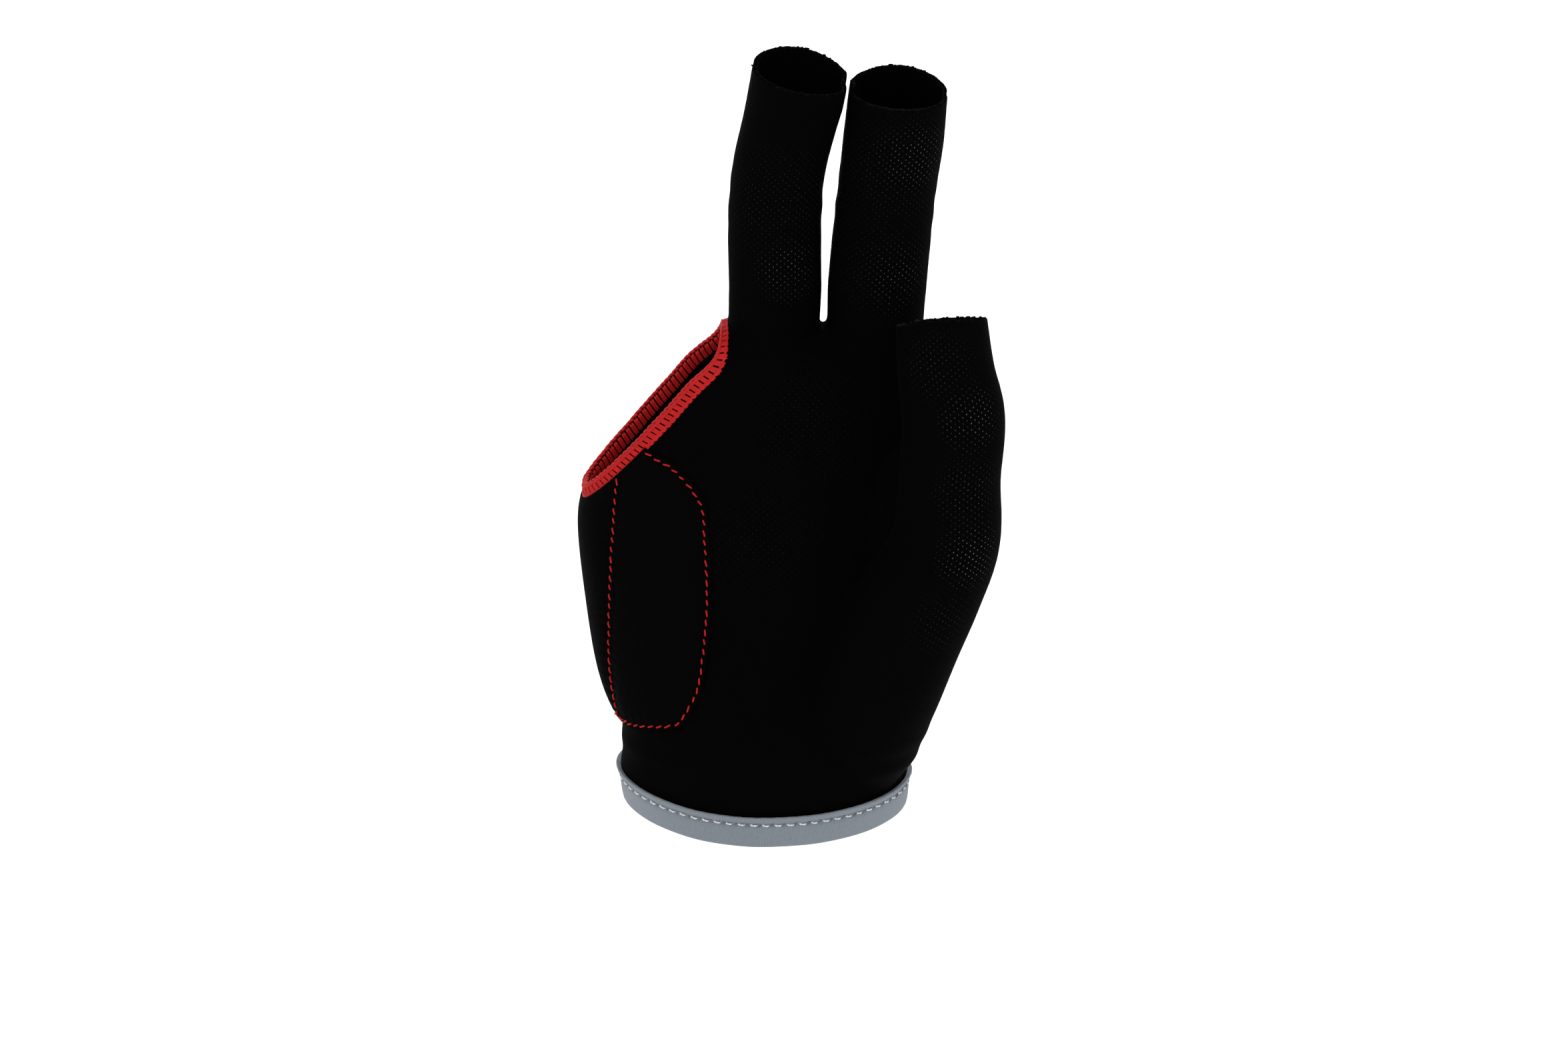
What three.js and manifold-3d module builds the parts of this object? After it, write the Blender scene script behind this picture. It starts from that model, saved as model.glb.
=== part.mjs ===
// A three-finger billiard glove, in the shape that it has on the hand.
// Fingers point to +Z, the palm faces -Y and the thumb side is +X. The little and ring fingers stay bare.
// The origin is the middle of the wrist opening, and all lengths are in millimetres.
import * as THREE from "three";
import { mergeVertices } from "three/addons/utils/BufferGeometryUtils.js";
import Module from "manifold-3d";

const wasm = await Module();
wasm.setup();

// Fabric and fits
const WALL = 1.0;
const CLEARANCE = 0.3;
const CUT_PAST = 3;

// Wrist and palm
const WRIST_WIDTH = 64;
const WRIST_DEPTH = 46;
const PALM_LENGTH = 116;
const PALM_WIDTH = 80;
const PALM_DEPTH = 31;

// Finger sleeves
const MIDDLE_LENGTH = 62;
const INDEX_LENGTH = 58;
const MIDDLE_WIDTH = 20.8;
const INDEX_WIDTH = 22;
const FINGER_GAP = 1.6;
const FINGER_CURL = 13;

// Thumb sleeve, which stands out past the palm's side by its spread
const THUMB_HEIGHT = 123;
const THUMB_SPREAD = 6;
const THUMB_FORWARD = 24;
const THUMB_WIDTH = 20.4;

// Opening for the ring and little fingers, and its overlocked edge
const OPENING_LOW = 79.5;
const OPENING_HIGH = 117;
const OVERLOCK_WIDTH = 3.4;
const OVERLOCK_THICKNESS = 2.2;

// Heel pad
const PAD_START = 26;
const PAD_FRONT_REACH = 35;
const PAD_BACK_REACH = 14;
const PAD_THICKNESS = 2.6;
const PAD_EDGE = 0.8;
const PAD_SEAM_PLACE = 12;
const PAD_SEAM_WIDTH = 3;
const PAD_SEAM_LEVEL = 0.35;

// Wrist binding
const BINDING_HEIGHT = 7.4;
const BINDING_TAPE = 0.9;

// Facets
const PALM_SIDES = 40;
const PALM_STEPS = 15;
const FINGER_SIDES = 18;
const FINGER_STEPS = 9;
const THUMB_SIDES = 20;
const THUMB_STEPS = 14;
const PAD_ROUND = 16;
const PAD_STEPS = 14;
const OVERLOCK_SIDES = 8;
const OVERLOCK_STEPS = 60;
const EDGE_POINTS = 32;
const SEARCH_STEPS = 90;

// Places that the sizes above give
const PALM_RIGHT = 0.45 * PALM_WIDTH;
const THUMB_REACH = PALM_RIGHT + THUMB_SPREAD;
const INDEX_CENTRE = PALM_RIGHT - INDEX_WIDTH / 2;
const MIDDLE_CENTRE = INDEX_CENTRE - INDEX_WIDTH / 2 - FINGER_GAP - MIDDLE_WIDTH / 2;
const MIDDLE_LEFT = MIDDLE_CENTRE - MIDDLE_WIDTH / 2;
const PAD_TOP = OPENING_LOW + (OPENING_HIGH - OPENING_LOW) / 3;
const PAD_LENGTH = PAD_TOP - PAD_START;

// Heights are shares of PALM_LENGTH. The palm's widths are shares of PALM_WIDTH and its depths of PALM_DEPTH.
// "wrist" says how much of a row follows WRIST_WIDTH and WRIST_DEPTH instead, from 0 to 1.
const PALM_ROWS = [
  { up: 0.0, wrist: 1.0, left: 0.5, right: 0.5, front: 0.5, back: 0.5, power: 2.0 },
  { up: 0.09, wrist: 0.8, left: 0.498, right: 0.49, front: 0.6, back: 0.52, power: 2.1 },
  { up: 0.18, wrist: 0.45, left: 0.455, right: 0.44, front: 0.65, back: 0.5, power: 2.25 },
  { up: 0.32, wrist: 0.0, left: 0.458, right: 0.425, front: 0.64, back: 0.5, power: 2.35 },
  { up: 0.46, wrist: 0.0, left: 0.484, right: 0.436, front: 0.6, back: 0.48, power: 2.4 },
  { up: 0.6, wrist: 0.0, left: 0.507, right: 0.448, front: 0.55, back: 0.46, power: 2.45 },
  { up: 0.74, wrist: 0.0, left: 0.52, right: 0.45, front: 0.5, back: 0.45, power: 2.5 },
  { up: 0.86, wrist: 0.0, left: 0.522, right: 0.45, front: 0.46, back: 0.43, power: 2.5 },
  { up: 0.94, wrist: 0.0, left: 0.51, right: 0.445, front: 0.4, back: 0.38, power: 2.45 },
  { up: 0.98, wrist: 0.0, left: 0.49, right: 0.43, front: 0.29, back: 0.28, power: 2.3 },
  { up: 1.0, wrist: 0.0, left: 0.46, right: 0.41, front: 0.15, back: 0.15, power: 2.1 },
];

// Finger rows: "up" is a share of the sleeve's own length above the crotch, "lean" is a share of the finger's
// width to the thumb side, "curl" is a share of FINGER_CURL towards the palm, and the girths are shares of
// the width.
const MIDDLE_ROWS = [
  { up: -0.4, lean: -0.02, curl: 0.0, width: 0.9, depth: 0.86 },
  { up: -0.1, lean: 0.0, curl: 0.0, width: 1.0, depth: 0.94 },
  { up: 0.2, lean: 0.0, curl: 0.08, width: 1.0, depth: 0.96 },
  { up: 0.45, lean: 0.0, curl: 0.24, width: 1.0, depth: 0.98 },
  { up: 0.62, lean: 0.04, curl: 0.44, width: 0.98, depth: 0.95 },
  { up: 0.8, lean: 0.15, curl: 0.7, width: 0.98, depth: 0.94 },
  { up: 1.0, lean: 0.28, curl: 1.0, width: 1.04, depth: 0.98 },
];
const INDEX_ROWS = [
  { up: -0.4, lean: -0.06, curl: 0.0, width: 0.86, depth: 0.84 },
  { up: -0.1, lean: -0.02, curl: 0.0, width: 0.98, depth: 0.9 },
  { up: 0.2, lean: 0.03, curl: 0.08, width: 1.0, depth: 0.92 },
  { up: 0.45, lean: 0.08, curl: 0.24, width: 0.99, depth: 0.92 },
  { up: 0.62, lean: 0.12, curl: 0.42, width: 0.985, depth: 0.9 },
  { up: 0.8, lean: 0.17, curl: 0.66, width: 1.0, depth: 0.9 },
  { up: 1.0, lean: 0.21, curl: 0.94, width: 0.975, depth: 0.9 },
];

// Thumb rows: "up" is a share of THUMB_HEIGHT, "out" of THUMB_REACH to the side, "fore" of THUMB_FORWARD
// towards the palm side, and the girths are shares of THUMB_WIDTH.
const THUMB_ROWS = [
  { up: 0.03, out: 0.25, fore: 0.04, width: 1.2, depth: 1.15 },
  { up: 0.16, out: 0.45, fore: 0.36, width: 1.54, depth: 1.42 },
  { up: 0.28, out: 0.59, fore: 0.6, width: 1.5, depth: 1.4 },
  { up: 0.4, out: 0.735, fore: 0.78, width: 1.38, depth: 1.28 },
  { up: 0.5, out: 0.86, fore: 0.9, width: 1.29, depth: 1.2 },
  { up: 0.6, out: 0.965, fore: 0.98, width: 1.2, depth: 1.14 },
  { up: 0.72, out: 0.98, fore: 1.0, width: 1.12, depth: 1.08 },
  { up: 0.83, out: 0.995, fore: 0.96, width: 1.14, depth: 1.08 },
  { up: 0.91, out: 0.955, fore: 0.89, width: 1.07, depth: 1.04 },
  { up: 1.0, out: 0.931, fore: 0.78, width: 1.0, depth: 0.98 },
];

// Pad rows: "along" is a share of PAD_LENGTH from PAD_START. "front" and "back" are shares of the pad's reach
// round the palm to each side of its outer edge, and "seam" is a share of PAD_SEAM_PLACE.
const PAD_ROWS = [
  { along: 0.0, front: 0.6, back: 0.7, seam: 0.45 },
  { along: 0.04, front: 0.74, back: 0.84, seam: 0.55 },
  { along: 0.11, front: 0.85, back: 0.94, seam: 0.68 },
  { along: 0.23, front: 0.925, back: 1.0, seam: 0.84 },
  { along: 0.42, front: 0.98, back: 1.0, seam: 1.0 },
  { along: 0.6, front: 1.0, back: 1.0, seam: 1.12 },
  { along: 0.77, front: 0.995, back: 1.0, seam: 1.22 },
  { along: 0.86, front: 0.94, back: 1.0, seam: 1.28 },
  { along: 0.93, front: 0.81, back: 1.0, seam: 1.3 },
  { along: 1.0, front: 0.6, back: 1.0, seam: 1.33 },
];

// The smooth value of a column at a place along the rows, by cubic pieces through all of them.
function valueAt(rows, place, column, at) {
  const last = rows.length - 1;
  let i = 0;
  while (i < last - 1 && at > rows[i + 1][place]) i += 1;
  const slope = (a, b) => (rows[b][column] - rows[a][column]) / (rows[b][place] - rows[a][place]);
  const chord = rows[i + 1][place] - rows[i][place];
  const start = slope(Math.max(i - 1, 0), i + 1) * chord;
  const end = slope(i, Math.min(i + 2, last)) * chord;
  const t = (at - rows[i][place]) / chord;
  const t2 = t * t;
  const t3 = t2 * t;
  return (
    (2 * t3 - 3 * t2 + 1) * rows[i][column] +
    (t3 - 2 * t2 + t) * start +
    (3 * t2 - 2 * t3) * rows[i + 1][column] +
    (t3 - t2) * end
  );
}

// A point of a rounded outline with its own reach to each side. Turn 0 is +X, and a quarter turn is the palm
// side.
function outlinePoint(turn, reach, power) {
  const across = Math.cos(turn);
  const fore = Math.sin(turn);
  const x = (across < 0 ? reach.left : reach.right) * Math.sign(across) * Math.abs(across) ** (2 / power);
  const y = (fore < 0 ? reach.back : reach.front) * Math.sign(fore) * Math.abs(fore) ** (2 / power);
  return new THREE.Vector2(x, -y);
}

// The palm's reach to each side at a height, grown by an offset.
function palmReach(height, offset) {
  const up = height / PALM_LENGTH;
  const at = (column) => valueAt(PALM_ROWS, "up", column, up);
  const wrist = at("wrist");
  const width = THREE.MathUtils.lerp(PALM_WIDTH, WRIST_WIDTH, wrist);
  const depth = THREE.MathUtils.lerp(PALM_DEPTH, WRIST_DEPTH, wrist);
  return {
    left: at("left") * width + offset,
    right: at("right") * width + offset,
    front: at("front") * depth + offset,
    back: at("back") * depth + offset,
    power: at("power"),
  };
}

function palmPoint(turn, height, offset) {
  const reach = palmReach(THREE.MathUtils.clamp(height, 0, PALM_LENGTH), offset);
  const p = outlinePoint(turn, reach, reach.power);
  return new THREE.Vector3(p.x, p.y, height);
}

// Turns a geometry into a solid for joining and cutting.
function solidOf(geometry) {
  const bare = geometry.clone();
  bare.deleteAttribute("normal");
  bare.deleteAttribute("uv");
  const merged = mergeVertices(bare, 1e-4);
  return new wasm.Manifold(
    new wasm.Mesh({
      numProp: 3,
      vertProperties: merged.attributes.position.array,
      triVerts: new Uint32Array(merged.index.array),
    }),
  );
}

function geometryOf(solid) {
  const mesh = solid.getMesh();
  const geometry = new THREE.BufferGeometry();
  geometry.setAttribute("position", new THREE.BufferAttribute(new Float32Array(mesh.vertProperties), 3));
  geometry.setIndex(new THREE.BufferAttribute(new Uint32Array(mesh.triVerts), 1));
  geometry.computeVertexNormals();
  return geometry;
}

// Joins rings of points into a closed skin. A closed run of rings meets its own start, and an open one is
// capped.
function skinRings(rings, closed) {
  const sides = rings[0].length;
  const points = rings.flat();
  const faces = [];
  const links = closed ? rings.length : rings.length - 1;
  for (let i = 0; i < links; i += 1) {
    const here = i * sides;
    const next = ((i + 1) % rings.length) * sides;
    for (let j = 0; j < sides; j += 1) {
      const k = (j + 1) % sides;
      faces.push(here + j, here + k, next + k, here + j, next + k, next + j);
    }
  }
  if (!closed) {
    const ends = [
      { ring: rings[0], first: 0, low: true },
      { ring: rings.at(-1), first: points.length - sides, low: false },
    ];
    for (const { ring, first, low } of ends) {
      points.push(ring.reduce((sum, p) => sum.add(p), new THREE.Vector3()).divideScalar(sides));
      for (let j = 0; j < sides; j += 1) {
        const a = first + j;
        const b = first + ((j + 1) % sides);
        faces.push(points.length - 1, ...(low ? [b, a] : [a, b]));
      }
    }
  }
  const geometry = new THREE.BufferGeometry().setFromPoints(points);
  geometry.setIndex(faces);
  const solid = solidOf(geometry);
  return solid.volume() < 0 ? solidOf(turnedInsideOut(geometry)) : solid;
}

function turnedInsideOut(geometry) {
  const turned = geometry.clone();
  turned.index.array.reverse();
  return turned;
}

function turns(sides) {
  return Array.from({ length: sides }, (_, i) => (2 * Math.PI * i) / sides);
}

// The palm's form grown by an offset, from "below" the wrist opening. The hem is straight up to the binding's
// top, and from there the rings lie closer towards the fingers.
function palmForm(offset, below) {
  const rings = [turns(PALM_SIDES).map((turn) => palmPoint(turn, 0, offset))];
  for (let i = 0; i <= PALM_STEPS; i += 1) {
    const share = i / PALM_STEPS;
    const crowded = (2 * share + 3 * Math.sin((share * Math.PI) / 2)) / 5;
    const height = THREE.MathUtils.lerp(BINDING_HEIGHT, PALM_LENGTH, crowded);
    const lifted = height + offset * share;
    rings.push(turns(PALM_SIDES).map((turn) => palmPoint(turn, height, offset).setZ(lifted)));
  }
  if (below > 0) rings.unshift(rings[0].map((p) => p.clone().setZ(-below)));
  return skinRings(rings, false);
}

// A point at the hem, whose sides are straight between its two outlines.
function hemPoint(turn, height, offset) {
  const low = palmPoint(turn, 0, offset);
  const high = palmPoint(turn, BINDING_HEIGHT, offset);
  return low.lerp(high, THREE.MathUtils.clamp(height / BINDING_HEIGHT, 0, 1)).setZ(height);
}

// A sleeve's form grown by an offset, and running "above" its rim. Its sections are square to its middle line.
function sleeveForm(sleeve, offset, above) {
  const { rows, steps } = sleeve;
  const first = rows[0].up;
  const last = rows.at(-1).up;
  const rings = [];
  for (let i = 0; i <= steps; i += 1) {
    rings.push(sleeveRing(sleeve, THREE.MathUtils.lerp(first, last, i / steps), offset, 0));
  }
  if (above > 0) rings.push(sleeveRing(sleeve, last, offset, above));
  return skinRings(rings, false);
}

// One section of a sleeve, moved along its centre line by "along".
function sleeveRing({ rows, centreAt, girth, sides }, up, offset, along) {
  const small = 0.01;
  const last = rows.at(-1).up;
  const centre = centreAt(up);
  const ahead = centreAt(Math.min(up + small, last));
  const behind = centreAt(Math.max(up - small, rows[0].up));
  const axis = ahead.sub(behind).normalize();
  const across = new THREE.Vector3(1, 0, 0).addScaledVector(axis, -axis.x).normalize();
  const back = new THREE.Vector3().crossVectors(axis, across);
  const half = (column) => (valueAt(rows, "up", column, up) * girth) / 2 + offset;
  const width = half("width");
  const depth = half("depth");
  const reach = { left: width, right: width, front: depth, back: depth };
  return turns(sides).map((turn) => {
    const p = outlinePoint(turn, reach, 2);
    const onSection = centre.clone().addScaledVector(across, p.x).addScaledVector(back, p.y);
    return onSection.addScaledVector(axis, along);
  });
}

function fingerSleeve(rows, centre, width, length) {
  return {
    rows,
    girth: width,
    sides: FINGER_SIDES,
    steps: FINGER_STEPS,
    centreAt: (up) =>
      new THREE.Vector3(
        centre + valueAt(rows, "up", "lean", up) * width,
        -valueAt(rows, "up", "curl", up) * FINGER_CURL,
        PALM_LENGTH + up * length,
      ),
  };
}

const middleSleeve = fingerSleeve(MIDDLE_ROWS, MIDDLE_CENTRE, MIDDLE_WIDTH, MIDDLE_LENGTH);
const indexSleeve = fingerSleeve(INDEX_ROWS, INDEX_CENTRE, INDEX_WIDTH, INDEX_LENGTH);
const thumbSleeve = {
  rows: THUMB_ROWS,
  girth: THUMB_WIDTH,
  sides: THUMB_SIDES,
  steps: THUMB_STEPS,
  centreAt: (up) =>
    new THREE.Vector3(
      valueAt(THUMB_ROWS, "up", "out", up) * THUMB_REACH,
      -valueAt(THUMB_ROWS, "up", "fore", up) * THUMB_FORWARD,
      up * THUMB_HEIGHT,
    ),
};

// The opening for the ring and little fingers is one slanted cut from the outer edge up to the middle finger.
const PALM_LEFT = palmReach(OPENING_LOW, 0).left;
const OPENING_SLOPE = (OPENING_HIGH - OPENING_LOW) / (PALM_LEFT + MIDDLE_LEFT);

function openingHeight(x) {
  return OPENING_LOW + (x + PALM_LEFT) * OPENING_SLOPE;
}

function openingCut(lift) {
  const far = 2 * PALM_WIDTH;
  const top = openingHeight(MIDDLE_CENTRE) + lift;
  const shape = new THREE.Shape();
  shape.moveTo(-far, openingHeight(-far) + lift);
  shape.lineTo(MIDDLE_CENTRE, top);
  shape.lineTo(MIDDLE_CENTRE, top + PALM_LENGTH);
  shape.lineTo(-far, top + PALM_LENGTH);
  const prism = new THREE.ExtrudeGeometry(shape, { depth: 2 * far, bevelEnabled: false });
  prism.translate(0, 0, -far);
  prism.rotateX(Math.PI / 2);
  return solidOf(prism);
}

// The line of the overlocked edge: along the cut over the front, round the outer edge, over the back,
// and past the middle finger's side at the crotch. The second curve says which way the fabric faces there.
function overlockLine() {
  const inset = (OVERLOCK_WIDTH / 2) * Math.hypot(1, OPENING_SLOPE);
  const highest = PALM_LENGTH - WALL;
  const line = [];
  for (let i = 1; i < EDGE_POINTS; i += 1) {
    const turn = Math.PI / 2 + (Math.PI * i) / EDGE_POINTS;
    let height = OPENING_LOW;
    for (let pass = 0; pass < 8; pass += 1) {
      const x = palmPoint(turn, height, -WALL / 2).x;
      height = Math.min(openingHeight(x) - inset, highest);
    }
    const point = palmPoint(turn, height, -WALL / 2);
    const facing = palmPoint(turn, height, WALL).sub(point).normalize();
    if (point.x < MIDDLE_LEFT - OVERLOCK_THICKNESS) line.push({ point, facing });
  }
  for (const side of [1, 0, -1]) {
    line.push({
      point: new THREE.Vector3(MIDDLE_LEFT + WALL / 2, (side * MIDDLE_WIDTH) / 4, highest),
      facing: new THREE.Vector3(-1, side, 0).normalize(),
    });
  }
  const curve = (key) => new THREE.CatmullRomCurve3(line.map((step) => step[key]), true, "centripetal");
  return { points: curve("point"), facings: curve("facing") };
}

// A bar of oval section along the edge's line, with its width in the fabric, grown by an offset.
function barAlong({ points, facings }, offset) {
  const rings = [];
  for (let i = 0; i < OVERLOCK_STEPS; i += 1) {
    const t = points.getUtoTmapping(i / OVERLOCK_STEPS);
    const centre = points.getPoint(t);
    const tangent = points.getTangent(t);
    const across = new THREE.Vector3().crossVectors(tangent, facings.getPoint(t)).normalize();
    const out = new THREE.Vector3().crossVectors(across, tangent).normalize();
    rings.push(
      turns(OVERLOCK_SIDES).map((turn) =>
        centre
          .clone()
          .addScaledVector(across, Math.cos(turn) * (OVERLOCK_WIDTH / 2 + offset))
          .addScaledVector(out, Math.sin(turn) * (OVERLOCK_THICKNESS / 2 + offset)),
      ),
    );
  }
  return skinRings(rings, true);
}

// All that lies on one side of the side seams, which run up the hand and follow the fingers' curl.
function sideOfSeam(sign) {
  const far = 3 * PALM_WIDTH;
  const top = PALM_LENGTH + 1.5 * MIDDLE_LENGTH;
  const seam = [new THREE.Vector2(0, -far), new THREE.Vector2(0, 0)];
  for (const { up } of MIDDLE_ROWS.filter((row) => row.up > 0)) {
    const centre = middleSleeve.centreAt(up);
    seam.push(new THREE.Vector2(centre.y, centre.z));
  }
  const [before, end] = seam.slice(-2);
  seam.push(end.clone().add(end.clone().sub(before).setLength(top)));
  const moved = seam.map((p) => new THREE.Vector2(p.x + (sign * CLEARANCE) / 2, p.y));
  const shape = new THREE.Shape([
    ...moved,
    new THREE.Vector2(sign * far, moved.at(-1).y),
    new THREE.Vector2(sign * far, -far),
  ]);
  const prism = new THREE.ExtrudeGeometry(shape, { depth: 2 * far, bevelEnabled: false });
  prism.translate(0, 0, -far);
  const [alongX, alongY, alongZ] = [0, 1, 2].map((axis) => new THREE.Vector3().setComponent(axis, 1));
  prism.applyMatrix4(new THREE.Matrix4().makeBasis(alongY, alongZ, alongX));
  return solidOf(prism);
}

function largestBody(solid) {
  return solid.decompose().reduce((a, b) => (a.volume() >= b.volume() ? a : b));
}

// The turn at which the palm's outline has run a distance from its outer edge, to the front if positive.
function turnAtReach(height, distance) {
  const sign = Math.sign(distance);
  const turnAt = (step) => Math.PI - (sign * step * Math.PI) / SEARCH_STEPS;
  let walked = 0;
  let before = palmPoint(Math.PI, height, 0);
  for (let i = 1; i <= SEARCH_STEPS; i += 1) {
    const here = palmPoint(turnAt(i), height, 0);
    const step = here.distanceTo(before);
    if (walked + step >= Math.abs(distance)) {
      return turnAt(i - 1 + (Math.abs(distance) - walked) / step);
    }
    walked += step;
    before = here;
  }
  return turnAt(SEARCH_STEPS);
}

// The pad is thick in the middle of its two cells and thin at its rim and along the seam between them.
function padThickness(distance, front, back, seam, fromStart) {
  const toRim = Math.min(front - distance, distance + back, fromStart);
  const toSeam = Math.abs(distance - seam);
  const rise = (distanceTo, width) => Math.sqrt(THREE.MathUtils.clamp(distanceTo / width, 0, 1));
  const cell = THREE.MathUtils.lerp(PAD_SEAM_LEVEL, 1, rise(toSeam, PAD_SEAM_WIDTH));
  const puff = rise(toRim, 2 * PAD_SEAM_WIDTH) * cell;
  return PAD_EDGE + (PAD_THICKNESS - PAD_EDGE) * puff;
}

function padForm() {
  const rings = [];
  for (let i = 0; i <= PAD_STEPS; i += 1) {
    const along = (1 - Math.cos((Math.PI * i) / PAD_STEPS)) / 2;
    const height = PAD_START + along * PAD_LENGTH;
    const front = valueAt(PAD_ROWS, "along", "front", along) * PAD_FRONT_REACH;
    const back = valueAt(PAD_ROWS, "along", "back", along) * PAD_BACK_REACH;
    const seam = valueAt(PAD_ROWS, "along", "seam", along) * PAD_SEAM_PLACE;
    const outer = [];
    const inner = [];
    for (let j = 0; j <= PAD_ROUND; j += 1) {
      const distance = -back + ((front + back) * j) / PAD_ROUND;
      const turn = turnAtReach(height, distance);
      const thickness = padThickness(distance, front, back, seam, along * PAD_LENGTH);
      outer.push(palmPoint(turn, height, CLEARANCE + thickness));
      inner.push(palmPoint(turn, height, -WALL));
    }
    rings.push([...outer, ...inner.reverse()]);
  }
  return skinRings(rings, false);
}

// The wrist binding is a tape folded over the fabric's edge, with a groove for the fabric inside it.
function bindingForm() {
  const outside = CLEARANCE + BINDING_TAPE;
  const inside = -WALL - CLEARANCE - BINDING_TAPE;
  const top = BINDING_HEIGHT - outside;
  const profile = [
    [outside, top - BINDING_TAPE / 2],
    [outside - BINDING_TAPE / 2, top],
    [CLEARANCE, top],
    [CLEARANCE, -CLEARANCE],
    [-WALL - CLEARANCE, -CLEARANCE],
    [-WALL - CLEARANCE, top],
    [inside + BINDING_TAPE / 2, top],
    [inside, top - BINDING_TAPE / 2],
    [inside, -outside + BINDING_TAPE],
    [inside + BINDING_TAPE, -outside],
    [outside - BINDING_TAPE, -outside],
    [outside, -outside + BINDING_TAPE],
  ];
  const rings = turns(PALM_SIDES).map((turn) =>
    profile.map(([offset, height]) => hemPoint(turn, height, offset)),
  );
  return skinRings(rings, true);
}

// The space that the binding takes, with a clearance above it.
function bindingRoom() {
  const heights = [-BINDING_HEIGHT, 0, BINDING_HEIGHT];
  const offset = 2 * CLEARANCE + BINDING_TAPE;
  const rings = heights.map((height) => turns(PALM_SIDES).map((turn) => hemPoint(turn, height, offset)));
  return skinRings(rings, false);
}

// The whole glove's outside and its hollow
const middleOuter = sleeveForm(middleSleeve, 0, 0);
const indexOuter = sleeveForm(indexSleeve, 0, 0);
const thumbOuter = sleeveForm(thumbSleeve, 0, 0);
const middleInner = sleeveForm(middleSleeve, -WALL, CUT_PAST);
const indexInner = sleeveForm(indexSleeve, -WALL, CUT_PAST);
const thumbInner = sleeveForm(thumbSleeve, -WALL, CUT_PAST);
const palmOuter = palmForm(0, 0).subtract(openingCut(0));
const palmInner = palmForm(-WALL, CUT_PAST).subtract(openingCut(WALL));

const edgeLine = overlockLine();
const overlock = barAlong(edgeLine, 0);
const overlockRoom = barAlong(edgeLine, CLEARANCE);

const shell = palmOuter
  .add(middleOuter)
  .add(indexOuter)
  .subtract(palmInner)
  .subtract(middleInner)
  .subtract(indexInner)
  .subtract(thumbInner)
  .subtract(overlockRoom);
const palmPanel = largestBody(shell.intersect(sideOfSeam(-1)));
const backPanel = largestBody(shell.intersect(sideOfSeam(1)));

const palmRoom = palmForm(CLEARANCE, 0).add(sleeveForm(indexSleeve, CLEARANCE, 0));
const thumb = largestBody(thumbOuter.subtract(thumbInner).subtract(palmRoom).subtract(bindingRoom()));
const padCut = padForm().subtract(palmForm(CLEARANCE, 0)).subtract(openingCut(0));
const pad = largestBody(padCut.subtract(overlockRoom));
const binding = bindingForm();

const knit = new THREE.MeshStandardMaterial({ color: 0x0b0b0c, roughness: 0.85, metalness: 0 });
const padCover = new THREE.MeshStandardMaterial({ color: 0x0e0e10, roughness: 0.8, metalness: 0 });
const redThread = new THREE.MeshStandardMaterial({ color: 0xc01019, roughness: 0.6, metalness: 0 });
const greyTape = new THREE.MeshStandardMaterial({ color: 0x7b8690, roughness: 0.7, metalness: 0 });

const glove = new THREE.Group();
for (const [name, solid, material] of [
  ["palm_panel", palmPanel, knit],
  ["back_panel", backPanel, knit],
  ["thumb_sleeve", thumb, knit],
  ["heel_pad", pad, padCover],
  ["edge_overlock", overlock, redThread],
  ["wrist_binding", binding, greyTape],
]) {
  const mesh = new THREE.Mesh(geometryOf(solid), material);
  mesh.name = name;
  glove.add(mesh);
}

export default glove;
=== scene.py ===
"""A three-finger billiard glove in its worn shape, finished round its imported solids.

The tables and functions work in millimetres, and points go into the meshes in metres. Fingers point to
+Z, the palm faces -Y and the thumb side is +X.
"""

import math
import random

import bpy
import numpy as np
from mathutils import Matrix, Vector


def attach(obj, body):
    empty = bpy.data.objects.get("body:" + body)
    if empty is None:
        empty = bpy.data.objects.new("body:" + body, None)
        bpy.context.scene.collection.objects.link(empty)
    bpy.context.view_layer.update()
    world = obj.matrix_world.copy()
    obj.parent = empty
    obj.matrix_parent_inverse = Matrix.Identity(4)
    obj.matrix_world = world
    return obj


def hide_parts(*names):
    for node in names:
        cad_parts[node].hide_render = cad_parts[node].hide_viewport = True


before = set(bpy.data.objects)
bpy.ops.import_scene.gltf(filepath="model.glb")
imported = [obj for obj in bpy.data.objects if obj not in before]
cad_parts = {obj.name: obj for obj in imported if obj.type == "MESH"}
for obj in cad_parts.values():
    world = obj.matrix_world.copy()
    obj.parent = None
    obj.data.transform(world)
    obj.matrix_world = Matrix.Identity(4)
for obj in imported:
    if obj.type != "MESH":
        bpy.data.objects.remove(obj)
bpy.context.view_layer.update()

MM = 0.001
PHOTO_WIDTH = 2352
PHOTO_HEIGHT = 1568

# Fabric and fits
WALL = 1.0
CLEARANCE = 0.3

# Wrist and palm
WRIST_WIDTH = 64.0
WRIST_DEPTH = 46.0
PALM_LENGTH = 116.0
PALM_WIDTH = 80.0
PALM_DEPTH = 31.0

# Finger and thumb sleeves
MIDDLE_LENGTH = 62.0
INDEX_LENGTH = 58.0
MIDDLE_WIDTH = 20.8
INDEX_WIDTH = 22.0
FINGER_GAP = 1.6
FINGER_CURL = 13.0
THUMB_HEIGHT = 123.0
THUMB_SPREAD = 6.0
THUMB_FORWARD = 24.0
THUMB_WIDTH = 20.4

# Side opening
OPENING_LOW = 79.5
OPENING_HIGH = 117.0

# Wrist binding
BINDING_HEIGHT = 7.4
BINDING_TAPE = 0.9

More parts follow.
